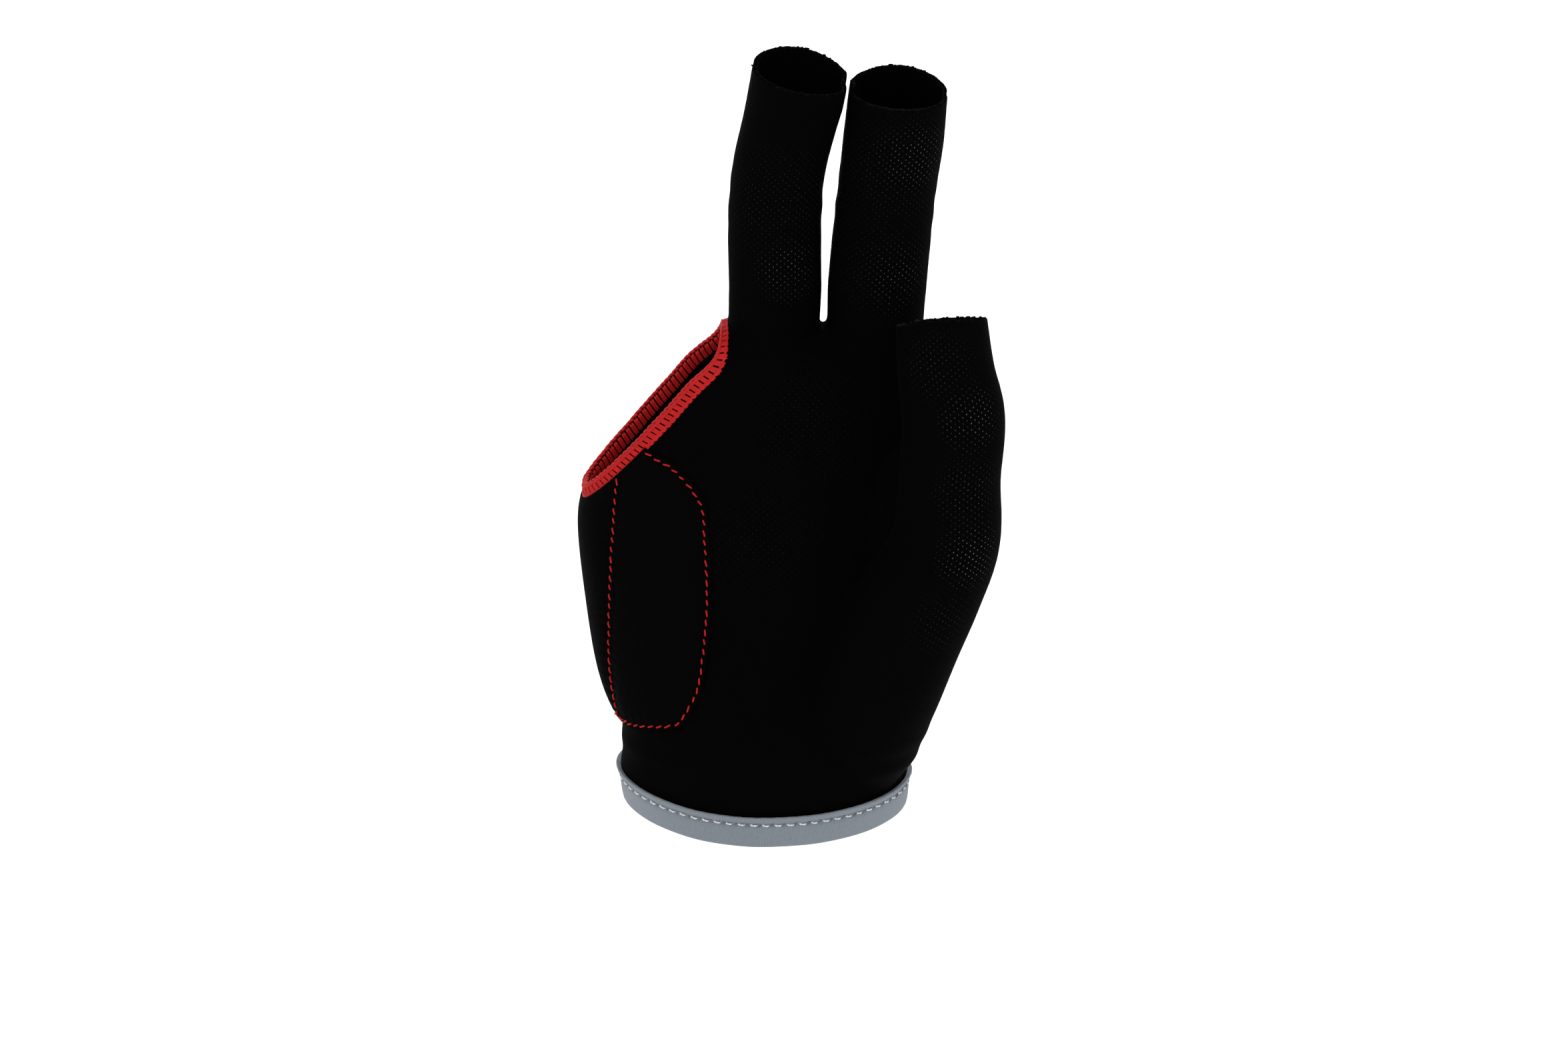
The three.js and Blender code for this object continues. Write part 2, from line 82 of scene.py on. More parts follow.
# Places that the sizes above give
PALM_RIGHT = 0.45 * PALM_WIDTH
THUMB_REACH = PALM_RIGHT + THUMB_SPREAD
INDEX_CENTRE = PALM_RIGHT - INDEX_WIDTH / 2
MIDDLE_CENTRE = INDEX_CENTRE - INDEX_WIDTH / 2 - FINGER_GAP - MIDDLE_WIDTH / 2
MIDDLE_LEFT = MIDDLE_CENTRE - MIDDLE_WIDTH / 2
BETWEEN_FINGERS = (MIDDLE_CENTRE + INDEX_CENTRE) / 2


def columns(names, rows):
    """A table as one array for each named column."""
    return dict(zip(names.split(), np.array(rows, float).T))


PALM = columns(
    "up wrist left right front back power",
    (
        (0.0, 1.0, 0.5, 0.5, 0.5, 0.5, 2.0),
        (0.09, 0.8, 0.498, 0.49, 0.6, 0.52, 2.1),
        (0.18, 0.45, 0.455, 0.44, 0.65, 0.5, 2.25),
        (0.32, 0.0, 0.458, 0.425, 0.64, 0.5, 2.35),
        (0.46, 0.0, 0.484, 0.436, 0.6, 0.48, 2.4),
        (0.6, 0.0, 0.507, 0.448, 0.55, 0.46, 2.45),
        (0.74, 0.0, 0.52, 0.45, 0.5, 0.45, 2.5),
        (0.86, 0.0, 0.522, 0.45, 0.46, 0.43, 2.5),
        (0.94, 0.0, 0.51, 0.445, 0.4, 0.38, 2.45),
        (0.98, 0.0, 0.49, 0.43, 0.29, 0.28, 2.3),
        (1.0, 0.0, 0.46, 0.41, 0.15, 0.15, 2.1),
    ),
)
MIDDLE = columns(
    "up lean curl width depth",
    (
        (-0.4, -0.02, 0.0, 0.9, 0.86),
        (-0.1, 0.0, 0.0, 1.0, 0.94),
        (0.2, 0.0, 0.08, 1.0, 0.96),
        (0.45, 0.0, 0.24, 1.0, 0.98),
        (0.62, 0.04, 0.44, 0.98, 0.95),
        (0.8, 0.15, 0.7, 0.98, 0.94),
        (1.0, 0.28, 1.0, 1.04, 0.98),
    ),
)
INDEX = columns(
    "up lean curl width depth",
    (
        (-0.4, -0.06, 0.0, 0.86, 0.84),
        (-0.1, -0.02, 0.0, 0.98, 0.9),
        (0.2, 0.03, 0.08, 1.0, 0.92),
        (0.45, 0.08, 0.24, 0.99, 0.92),
        (0.62, 0.12, 0.42, 0.985, 0.9),
        (0.8, 0.17, 0.66, 1.0, 0.9),
        (1.0, 0.21, 0.94, 0.975, 0.9),
    ),
)
THUMB = columns(
    "up out fore width depth",
    (
        (0.03, 0.25, 0.04, 1.2, 1.15),
        (0.16, 0.45, 0.36, 1.54, 1.42),
        (0.28, 0.59, 0.6, 1.5, 1.4),
        (0.4, 0.735, 0.78, 1.38, 1.28),
        (0.5, 0.86, 0.9, 1.29, 1.2),
        (0.6, 0.965, 0.98, 1.2, 1.14),
        (0.72, 0.98, 1.0, 1.12, 1.08),
        (0.83, 0.995, 0.96, 1.14, 1.08),
        (0.91, 0.955, 0.89, 1.07, 1.04),
        (1.0, 0.931, 0.78, 1.0, 0.98),
    ),
)

# The stitch line round the heel pad, from the side opening down the palm and round the outer edge to
# the back. Reach is measured round the palm from its outer edge, to the front if positive.
PAD_LINE = columns(
    "reach height",
    (
        (14.0, 97.5),
        (22.2, 90.5),
        (28.3, 87.0),
        (32.5, 82.5),
        (34.4, 79.0),
        (35.0, 74.0),
        (35.2, 62.0),
        (34.5, 52.5),
        (32.3, 40.0),
        (31.3, 36.0),
        (29.9, 32.8),
        (27.4, 28.8),
        (26.7, 27.9),
        (25.4, 27.4),
        (20.3, 26.2),
        (14.0, 25.2),
        (7.0, 24.6),
        (0.0, 24.6),
        (-7.0, 25.6),
        (-11.5, 28.5),
        (-13.6, 34.0),
        (-14.0, 45.0),
        (-14.0, 60.0),
        (-14.0, 75.0),
        (-14.0, 97.5),
    ),
)
QUILT_LINE = columns(
    "reach height",
    (
        (16.4, 97.0),
        (15.4, 85.0),
        (14.4, 73.0),
        (12.1, 54.5),
        (10.0, 40.5),
        (9.0, 31.0),
        (7.9, 24.6),
    ),
)


def value_at(table, column, at):
    """The smooth value of a column along the table, by cubic pieces through all of its rows."""
    place = next(iter(table.values()))
    value = table[column]
    at = np.asarray(at, float)
    last = len(place) - 1
    i = np.clip(np.searchsorted(place, at) - 1, 0, last - 1)
    before = np.maximum(i - 1, 0)
    after = np.minimum(i + 2, last)
    chord = place[i + 1] - place[i]
    start = (value[i + 1] - value[before]) / (place[i + 1] - place[before]) * chord
    end = (value[after] - value[i]) / (place[after] - place[i]) * chord
    t = (at - place[i]) / chord
    return (
        (2 * t**3 - 3 * t**2 + 1) * value[i]
        + (t**3 - 2 * t**2 + t) * start
        + (3 * t**2 - 2 * t**3) * value[i + 1]
        + (t**3 - t**2) * end
    )


def smooth_step(low, high, value):
    share = np.clip((value - low) / (high - low), 0, 1)
    return share * share * (3 - 2 * share)


def unit(vectors):
    return vectors / np.maximum(np.linalg.norm(vectors, axis=-1, keepdims=True), 1e-9)


def run_along(points):
    """How far a line has run at each of its points."""
    return np.concatenate([[0.0], np.cumsum(np.linalg.norm(np.diff(points, axis=0), axis=1))])


def columns_at(places, known, rows):
    """Rows of numbers that are known at some places, read at other places between them."""
    return np.stack([np.interp(places, known, column) for column in rows.T], axis=1)


# The palm's form


def palm_reach(height):
    up = np.clip(np.asarray(height, float) / PALM_LENGTH, 0, 1)
    wrist = value_at(PALM, "wrist", up)
    width = PALM_WIDTH + (WRIST_WIDTH - PALM_WIDTH) * wrist
    depth = PALM_DEPTH + (WRIST_DEPTH - PALM_DEPTH) * wrist
    sides = [value_at(PALM, side, up) * width for side in ("left", "right")]
    faces = [value_at(PALM, face, up) * depth for face in ("front", "back")]
    return sides[0], sides[1], faces[0], faces[1], value_at(PALM, "power", up)


def palm_point(turn, height, offset=0.0):
    """A point of the palm's form. Turn 0 is the thumb side, and a quarter turn is the palm side."""
    turn, height = np.broadcast_arrays(np.asarray(turn, float), np.asarray(height, float))
    left, right, front, back, power = palm_reach(height)

    def rounded(along, low, high):
        reach = np.where(along < 0, low, high) + offset
        return reach * np.sign(along) * np.abs(along) ** (2 / power)

    x = rounded(np.cos(turn), left, right)
    y = -rounded(np.sin(turn), back, front)
    return np.stack([x, y, height], axis=-1)


def palm_facing(turn, height):
    """The direction in which the palm's form faces at a point."""
    small = 0.004
    round_it = palm_point(turn - small, height) - palm_point(turn + small, height)
    up_it = palm_point(turn, height + 0.4) - palm_point(turn, height - 0.4)
    return unit(np.cross(round_it, up_it))


def palm_turn(x, y, height):
    """A point's turn round the palm's form, and how far out it is as a share of the form."""
    left, right, front, back, power = palm_reach(height)
    across = np.sign(x) * np.abs(x / np.where(x < 0, left, right)) ** (power / 2)
    fore = np.sign(-y) * np.abs(y / np.where(y > 0, back, front)) ** (power / 2)
    return np.arctan2(fore, across), np.hypot(across, fore) ** (2 / power)


ARC_TURNS = np.linspace(0, math.pi, 361)
ARC_HEIGHTS = np.linspace(0, PALM_LENGTH, 117)


def arcs_from_edge(sign):
    """For each height, the way round the palm from its outer edge to each turn, by front or back."""
    turn = math.pi - sign * ARC_TURNS
    return np.array([run_along(palm_point(turn, height)) for height in ARC_HEIGHTS])


FRONT_ARCS = arcs_from_edge(1)
BACK_ARCS = arcs_from_edge(-1)


def turn_at_reach(height, reach):
    """The turn that lies a way round the palm from its outer edge, to the front if positive."""
    height, reach = np.broadcast_arrays(np.asarray(height, float), np.asarray(reach, float))
    out = np.empty(height.shape)
    rows = np.clip(np.round(height).astype(int), 0, len(ARC_HEIGHTS) - 1)
    for row in np.unique(rows):
        low = max(row - 1, 0)
        high = min(row + 1, len(ARC_HEIGHTS) - 1)
        for sign, arcs, on_side in ((1, FRONT_ARCS, reach >= 0), (-1, BACK_ARCS, reach < 0)):
            here = on_side & (rows == row)
            if here.any():
                walk = np.abs(reach[here])
                walk_low = np.interp(walk, arcs[low], ARC_TURNS)
                walk_high = np.interp(walk, arcs[high], ARC_TURNS)
                share = (height[here] - low) / (high - low)
                out[here] = math.pi - sign * (walk_low + (walk_high - walk_low) * share)
    return out


def reach_at_turn(turn, height):
    """How far round the palm's outline a turn lies from its outer edge."""
    turn = np.mod(turn, 2 * math.pi)
    row = np.clip(np.round(height).astype(int), 0, len(ARC_HEIGHTS) - 1)
    walked = np.abs(math.pi - turn) / math.pi * (len(ARC_TURNS) - 1)
    step = np.clip(walked.astype(int), 0, len(ARC_TURNS) - 2)
    share = walked - step
    front = FRONT_ARCS[row, step] * (1 - share) + FRONT_ARCS[row, step + 1] * share
    back = BACK_ARCS[row, step] * (1 - share) + BACK_ARCS[row, step + 1] * share
    return np.where(turn <= math.pi, front, -back)


PALM_LEFT = float(palm_reach(OPENING_LOW)[0])
OPENING_SLOPE = (OPENING_HIGH - OPENING_LOW) / (PALM_LEFT + MIDDLE_LEFT)
OPENING_BOW = 0.9
OPENING_DROP = 2.4
OPENING_CORNER = 3.0


def opening_height(x):
    """The height of the side opening's edge, which bows a little below a straight line."""
    share = np.clip((x + PALM_LEFT) / (PALM_LEFT + MIDDLE_LEFT), 0, 1)
    bow = OPENING_BOW * 4 * share * (1 - share) + OPENING_DROP * smooth_step(0.7, 1, share)
    return OPENING_LOW + (x + PALM_LEFT) * OPENING_SLOPE - bow


# The sleeves' forms


# Each sleeve's table, girth, length and place across the palm
SLEEVES = {
    "middle": (MIDDLE, MIDDLE_WIDTH, MIDDLE_LENGTH, MIDDLE_CENTRE),
    "index": (INDEX, INDEX_WIDTH, INDEX_LENGTH, INDEX_CENTRE),
    "thumb": (THUMB, THUMB_WIDTH, THUMB_HEIGHT, 0.0),
}


def sleeve_centre(name, up):
    """A point of a sleeve's centre line."""
    table, girth, length, root = SLEEVES[name]
    up = np.asarray(up, float)
    if name == "thumb":
        x = value_at(table, "out", up) * THUMB_REACH
        y = -value_at(table, "fore", up) * THUMB_FORWARD
        return np.stack([x, y, up * length], axis=-1)
    x = root + value_at(table, "lean", up) * girth
    y = -value_at(table, "curl", up) * FINGER_CURL
    return np.stack([x, y, PALM_LENGTH + up * length], axis=-1)


def sleeve_axes(name, up):
    """A sleeve's centre line at a place, with its direction and the two directions of its section."""
    first, last = SLEEVES[name][0]["up"][[0, -1]]
    small = 0.005
    centre = sleeve_centre(name, np.clip(up, first, last))
    ahead = sleeve_centre(name, np.minimum(up, last - small) + small)
    behind = sleeve_centre(name, np.clip(up, first + small, last) - small)
    axis = unit(ahead - behind)
    across = unit(np.array([1.0, 0.0, 0.0]) - axis * axis[..., :1])
    return centre, axis, across, np.cross(axis, across)


def sleeve_girths(name, up):
    """Half of a sleeve's width and of its depth at a place."""
    table, girth = SLEEVES[name][:2]
    return value_at(table, "width", up) * girth / 2, value_at(table, "depth", up) * girth / 2


def sleeve_point(name, turn, up, beyond):
    """A point of a sleeve's form, moved along the sleeve by "beyond"."""
    centre, axis, across, back = sleeve_axes(name, up)
    width, depth = sleeve_girths(name, up)
    section = across * (width * np.cos(turn))[..., None] - back * (depth * np.sin(turn))[..., None]
    return centre + section + axis * beyond[..., None]


# Tools for making pieces


def nothing_selected():
    if bpy.context.object and bpy.context.object.mode != "OBJECT":
        bpy.ops.object.mode_set(mode="OBJECT")
    bpy.ops.object.select_all(action="DESELECT")


def take(*pieces):
    """Selects these pieces alone, with the first one active."""
    nothing_selected()
    for piece in pieces:
        piece.select_set(True)
    bpy.context.view_layer.objects.active = pieces[0]


def points_of(piece):
    found = np.empty(len(piece.data.vertices) * 3)
    piece.data.vertices.foreach_get("co", found)
    return found.reshape(-1, 3) / MM


def put_points(piece, points):
    piece.data.vertices.foreach_set("co", (np.asarray(points, float) * MM).ravel())
    piece.data.update()


def facings_of(piece):
    found = np.empty(len(piece.data.vertices) * 3)
    piece.data.vertex_normals.foreach_get("vector", found)
    return found.reshape(-1, 3)


def named(piece, name):
    piece.name = name
    piece.data.name = name
    return piece


def added(name, operator, **sizes):
    """A primitive under a name of its own."""
    nothing_selected()
    operator(**sizes)
    return named(bpy.context.object, name)


def in_edit_mode(piece, *steps):
    """Runs edit-mode steps on the whole of a piece."""
    take(piece)
    bpy.ops.object.mode_set(mode="EDIT")
    bpy.ops.mesh.select_mode(type="VERT")
    bpy.ops.mesh.select_all(action="SELECT")
    for step in steps:
        step()
    bpy.ops.object.mode_set(mode="OBJECT")


def finished_with(piece, kind, **settings):
    """Adds a modifier, sets it and applies it."""
    take(piece)
    modifier = piece.modifiers.new(kind.title(), kind)
    for key, value in settings.items():
        setattr(modifier, key, value)
    bpy.ops.object.modifier_apply(modifier=modifier.name)


def merged(piece, distance=0.02):
    in_edit_mode(
        piece,
        lambda: bpy.ops.mesh.remove_doubles(threshold=distance * MM),
        lambda: bpy.ops.mesh.normals_make_consistent(inside=False),
    )


def joined(name, pieces):
    take(*pieces)
    if len(pieces) > 1:
        bpy.ops.object.join()
    return named(bpy.context.object, name)


def shaped_grid(name, across, along, place, size_across=1.0, size_along=1.0):
    """A grid whose points go where place(u, v) puts them, with its map in millimetres."""
    sizes = {"x_subdivisions": across, "y_subdivisions": along, "size": 1, "calc_uvs": True}
    grid = added(name, bpy.ops.mesh.primitive_grid_add, **sizes)
    flat = points_of(grid) * MM
    put_points(grid, place(flat[:, 0] + 0.5, flat[:, 1] + 0.5))
    layer = grid.data.uv_layers[0]
    layer.name = "Weave"
    found = np.empty(len(grid.data.loops) * 2)
    layer.data.foreach_get("uv", found)
    found = found.reshape(-1, 2) * [size_across, size_along]
    layer.data.foreach_set("uv", found.ravel())
    return grid


def closed_tube(name, around, along, place):
    """A tube made of a grid whose sides meet, with both ends filled."""
    tube = shaped_grid(name, around, along, place)
    in_edit_mode(
        tube,
        lambda: bpy.ops.mesh.remove_doubles(threshold=0.01 * MM),
        lambda: bpy.ops.mesh.select_all(action="DESELECT"),
        lambda: bpy.ops.mesh.select_non_manifold(),
        lambda: bpy.ops.mesh.edge_face_add(),
        lambda: bpy.ops.mesh.select_all(action="SELECT"),
        lambda: bpy.ops.mesh.normals_make_consistent(inside=False),
    )
    return tube


def copy_of(piece, name):
    twin = piece.copy()
    twin.data = piece.data.copy()
    bpy.context.scene.collection.objects.link(twin)
    return named(twin, name)


def cut_away(piece, keep):
    """Cuts off a piece where the field keep(points) is below zero, along the field's zero line."""
    points = points_of(piece)
    attributes = piece.data.attributes
    stored = attributes.get("place") or attributes.new("place", "FLOAT_VECTOR", "POINT")
    stored.data.foreach_set("vector", points.ravel().astype(np.float32))
    field = keep(points)
    if field.min() > 0:
        return
    points[:, 2] = np.clip(field, -20, 20)
    put_points(piece, points)
    level = {"plane_co": (0, 0, 0), "plane_no": (0, 0, 1)}
    in_edit_mode(piece, lambda: bpy.ops.mesh.bisect(**level, clear_inner=True, threshold=1e-7))
    found = np.empty(len(piece.data.vertices) * 3, np.float32)
    piece.data.attributes["place"].data.foreach_get("vector", found)
    put_points(piece, found.reshape(-1, 3))


# The knit skin: one body for palm, fingers and thumb, then cut at its rims, its opening and its seams

SKIN_VOXEL = 0.8
SKIN_SOFTENING = 22
RIM_SPARE = 4.0
FINGER_SPREAD = 1.65
SPREAD_SHIFT = -1.15
FINGER_CLOSING = 0.7
CLOSING_REACH = 9.0
THUMB_CLEAR = 3.0
SPREAD_SIDES = {
    "middle": SPREAD_SHIFT - FINGER_SPREAD,
    "index": SPREAD_SHIFT + FINGER_SPREAD,
    "thumb": 0.0,
}
PALM_SPARE = 6.0
SLEEVE_SPARE = 0.12
PALM_FACETS = (160, 110)
SLEEVE_FACETS = (96, 90)

# How far the cuts lie beyond the hem, the side opening's edge and the middle finger, and a field's value
# where nothing is cut
HEM_SPARE = 0.2
OPENING_SPARE = 0.35
OPENING_PAST_MIDDLE = 1.2
FAR = 50.0

# The part of a sleeve that its rim's cut reaches: out from the sleeve, down from the rim, and clear of
# the others
RIM_OUT = 4.0
RIM_DOWN = 12.0
RIM_CLEAR = 1.2

# The thumb's seam lies between the thumb sleeve and the palm, and higher up the index sleeve
PALM_HALF = 18.0
INDEX_FROM = PALM_LENGTH - 20
THUMB_SEAM_LOW = 6.0
THUMB_END = THUMB_HEIGHT + RIM_SPARE + 1

# The web at the thumb's root, as half sizes and a middle
WEB_SIZE = (8.5, 8.0, 27.0)
WEB_MIDDLE = (30.5, -9.5, 66.0)
WEB_LEAN = 0.1

# The cuff's edge is a little higher at both sides than over the front and the back.
HEM_LIFT_LEFT = 3.2
HEM_LIFT_RIGHT = 1.6


def hem_lift(x):
    share = np.abs(x) / (WRIST_WIDTH / 2)
    return np.where(x < 0, HEM_LIFT_LEFT, HEM_LIFT_RIGHT) * np.clip(share, 0, 1.1) ** 2


def palm_limb():
    def place(u, v):
        height = -PALM_SPARE + (PALM_LENGTH + PALM_SPARE) * np.sin(v * math.pi / 2) ** 0.9
        return palm_point(2 * math.pi * u, height)

    return closed_tube("palm_limb", *PALM_FACETS, place)


def sleeve_limb(name):
    first, last = SLEEVES[name][0]["up"][[0, -1]]

    def place(u, v):
        reach = (1 + SLEEVE_SPARE) * v
        past_rim = np.maximum(reach - 1, 0) / SLEEVE_SPARE
        up = first + (last - first) * np.minimum(reach, 1)
        points = sleeve_point(name, 2 * math.pi * u, up, past_rim * RIM_SPARE)
        if name == "thumb":
            points[:, 1] -= THUMB_CLEAR * past_rim
        points[:, 0] += SPREAD_SIDES[name] * spread_share(points[:, 2])
        return points

    return closed_tube(name + "_limb", *SLEEVE_FACETS, place)


def spread_share(height):
    """The share of their spread by which the fingers stay apart while the skin is made."""
    return smooth_step(PALM_LENGTH - 3, PALM_LENGTH + 12, height)


def thumb_web():
    """The fabric that spans between the thumb's root and the side of the palm."""
    web = added("thumb_web", bpy.ops.mesh.primitive_uv_sphere_add, segments=48, ring_count=32, radius=1)
    bulge = points_of(web) * MM * WEB_SIZE
    bulge[:, 0] += WEB_LEAN * bulge[:, 2]
    put_points(web, bulge + WEB_MIDDLE)
    return web


def whole_skin():
    skin = joined("knit_skin", [palm_limb(), *[sleeve_limb(name) for name in SLEEVES], thumb_web()])
    finished_with(skin, "REMESH", mode="VOXEL", voxel_size=SKIN_VOXEL * MM, adaptivity=0.0)
    finished_with(skin, "SMOOTH", factor=0.5, iterations=SKIN_SOFTENING)
    put_points(skin, fingers_closed(points_of(skin)))
    return skin


def fingers_closed(points):
    """Brings the fingers back together, and closer at their facing sides, which meet at the rims."""
    share = spread_share(points[:, 2])
    middle = between_fingers(points[:, 2])
    away = points[:, 0] - middle - SPREAD_SHIFT * share
    shift = share * (FINGER_SPREAD + FINGER_CLOSING * np.exp(-((away / CLOSING_REACH) ** 2)))
    closer = np.sign(away) * np.maximum(np.abs(away) - shift, 0.1 * np.abs(away))
    from_thumb = from_sleeve("thumb", points)[0]
    from_index = from_sleeve("index", points)[0]
    on_thumb = smooth_step(-2, 2, from_index - from_thumb) * (points[:, 2] < THUMB_END)
    closed = points.copy()
    closed[:, 0] += (middle + closer - points[:, 0]) * (1 - on_thumb)
    return closed


def nearest_up(name, height):
    """The place along a sleeve at which its centre line has a height."""
    table, _, length, _ = SLEEVES[name]
    foot = 0.0 if name == "thumb" else PALM_LENGTH
    return np.clip((height - foot) / length, table["up"][0], 1)


def between_fingers(height):
    """The place midway between the two finger sleeves at a height."""
    middle = sleeve_centre("middle", nearest_up("middle", height))[..., 0]
    index = sleeve_centre("index", nearest_up("index", height))[..., 0]
    return (middle + MIDDLE_WIDTH / 2 + index - INDEX_WIDTH / 2) / 2


def from_sleeve(name, points):
    """How far outside a sleeve's form each point is, its angle from the palm side, and its place up."""
    stride = THUMB_HEIGHT if name == "thumb" else MIDDLE_LENGTH
    up = nearest_up(name, points[:, 2])
    for _ in range(3):
        centre, axis, _, _ = sleeve_axes(name, up)
        ahead = np.sum((points - centre) * axis, axis=1)
        up = np.clip(up + ahead * axis[:, 2] / stride, SLEEVES[name][0]["up"][0], 1)
    centre, axis, across, back = sleeve_axes(name, up)
    away = points - centre
    side = np.sum(away * across, axis=1)
    fore = -np.sum(away * back, axis=1)
    width, depth = sleeve_girths(name, up)
    out = (np.hypot(side / width, fore / depth) - 1) * (width + depth) / 2
    past_end = np.abs(np.sum(away * axis, axis=1)) - RIM_SPARE - 1
    out = np.where(past_end > 0, np.hypot(out, past_end), out)
    return out, np.arctan2(side, fore), up


def from_other_sleeves(name, points):
    """How far outside the nearer one of the other two sleeves each point is."""
    return np.minimum(*[from_sleeve(other, points)[0] for other in SLEEVES if other != name])


def ripple(angle, seed, size):
    """A small uneven wave round a cut edge, the same in each run."""
    dice = random.Random(seed)
    wave = np.zeros_like(angle)
    for count in (3, 5, 11, 17, 29, 37, 43, 53, 61):
        height = dice.uniform(0.5, 1.0)
        wave += height * np.sin(count * angle + dice.uniform(0, 2 * math.pi)) / count**0.25
    return size * wave


def rim_field(name, points):
    """Positive below a sleeve's rim, near that sleeve alone."""
    out, angle, _ = from_sleeve(name, points)
    centre, axis, _, _ = sleeve_axes(name, np.array([1.0]))
    below = -np.sum((points - centre) * axis, axis=1) + ripple(angle, name, 0.07)
    below = below + (0.25 if name == "thumb" else 0.4) * np.cos(2 * angle)
    from_others = from_other_sleeves(name, points)
    near = (out < RIM_OUT) & (below < RIM_DOWN) & (out < from_others)
    if name == "thumb":
        near &= (below > 0) | (from_others > RIM_CLEAR)
    return np.where(near, below, FAR)


def kept_glove(points):
    """Positive on the glove, and below zero past its rims, its hem and its side opening."""
    x, y, z = points.T
    hem = z - hem_lift(x) + HEM_SPARE
    below = (opening_height(x) - OPENING_SPARE - z) / math.hypot(1, OPENING_SLOPE)
    open_edge = below + ripple(np.arctan2(y, x), "opening", 0.03)
    past_middle = x - (MIDDLE_LEFT - OPENING_PAST_MIDDLE)
    near_corner = np.clip(OPENING_CORNER - np.abs(open_edge - past_middle), 0, None)
    opening = np.maximum(open_edge, past_middle) + near_corner**2 / (4 * OPENING_CORNER)
    field = np.minimum(hem, opening)
    for name in SLEEVES:
        field = np.minimum(field, rim_field(name, points))
    return field


def seam_depth_line(points):
    """Below zero on the palm side of the side seams, which follow the fingers' curl."""
    x, y, z = points.T
    middle = sleeve_centre("middle", nearest_up("middle", z))[:, 1]
    index = sleeve_centre("index", nearest_up("index", z))[:, 1]
    return y - np.where(z > PALM_LENGTH, np.where(x < between_fingers(z), middle, index), 0.0)


def thumb_side(points):
    """Below zero on the thumb sleeve, and above it on the palm and back."""
    x, y, z = points.T
    share = palm_turn(x, y, np.clip(z, 0, PALM_LENGTH))[1]
    from_palm = (share - 1) * PALM_HALF
    from_index = from_sleeve("index", points)[0]
    from_rest = np.where(z > INDEX_FROM, np.minimum(from_palm, from_index), from_palm)
    from_rest = np.where(z > PALM_LENGTH, from_index, from_rest)
    field = from_sleeve("thumb", points)[0] - from_rest
    field = np.where(z > THUMB_END, FAR, field)
    return np.where(z < THUMB_SEAM_LOW, np.maximum(field, 3.0), field)


SEAM_DIP = 0.38
SEAM_REACH = 1.3

# The knit's map: the way round the thumb, its stretch along the thumb, the way round a finger for each
# radian, and where the fingers start
MAP_THUMB = 64.8
MAP_THUMB_STRETCH = 1.06
MAP_FINGER = 10.2
MAP_ROOT = PALM_LENGTH - 12


def finger_map_start(centre, quarter):
    """Where a finger's own map starts, as a way round the palm from its outer edge."""
    turns = np.linspace(quarter - 1.3, quarter + 1.3, 300)
    across = palm_point(turns, MAP_ROOT)[:, 0]
    order = np.argsort(across)
    turn = np.interp(centre, across[order], turns[order])
    return reach_at_turn(np.array([turn]), np.array([MAP_ROOT]))[0]


def weave_map(piece, part):
    """Lays the knit's own map on a piece, in millimetres round and up the glove."""
    mesh = piece.data
    points = points_of(piece)
    x, y, z = points.T
    if part == "thumb":
        u = from_sleeve("thumb", points)[1] / (2 * math.pi) * MAP_THUMB
        v = z * MAP_THUMB_STRETCH
    else:
        turn = palm_turn(x, y, np.clip(z, 0, PALM_LENGTH))[0]
        u = reach_at_turn(turn, np.clip(z, 0, PALM_LENGTH - 3))
        v = z
        sign, quarter = (1, math.pi / 2) if part == "palm" else (-1, 3 * math.pi / 2)
        for name in ("middle", "index"):
            here = (x < between_fingers(z)) == (name == "middle")
            angle = from_sleeve(name, points)[1]
            if part == "back":
                angle = np.sign(angle) * (math.pi - np.abs(angle))
            finger_u = finger_map_start(SLEEVES[name][3], quarter) + sign * MAP_FINGER * angle
            share_up = smooth_step(PALM_LENGTH - 10, PALM_LENGTH + 6, z)
            u = np.where(here, u + (finger_u - u) * share_up, u)
    corners = np.empty(len(mesh.loops), np.int32)
    mesh.loops.foreach_get("vertex_index", corners)
    loop_u = u[corners]
    if part == "thumb":
        starts = np.empty(len(mesh.polygons), np.int32)
        totals = np.empty(len(mesh.polygons), np.int32)
        mesh.polygons.foreach_get("loop_start", starts)
        mesh.polygons.foreach_get("loop_total", totals)
        first = np.repeat(loop_u[starts], totals)
        loop_u = loop_u + np.round((first - loop_u) / MAP_THUMB) * MAP_THUMB
    layer = mesh.uv_layers.new(name="Weave")
    layer.data.foreach_set("uv", np.stack([loop_u, v[corners]], axis=1).ravel())


def pressed_seams(skin):
    """Presses the skin in along its seams, where the fabric is drawn together by the stitches."""
    points = points_of(skin)
    thumb = thumb_side(points)
    side = np.where(thumb > 0, np.abs(seam_depth_line(points)), FAR)
    near = np.minimum(np.abs(thumb), side)
    press = SEAM_DIP * np.exp(-((near / SEAM_REACH) ** 2))
    put_points(skin, points - facings_of(skin) * press[:, None])


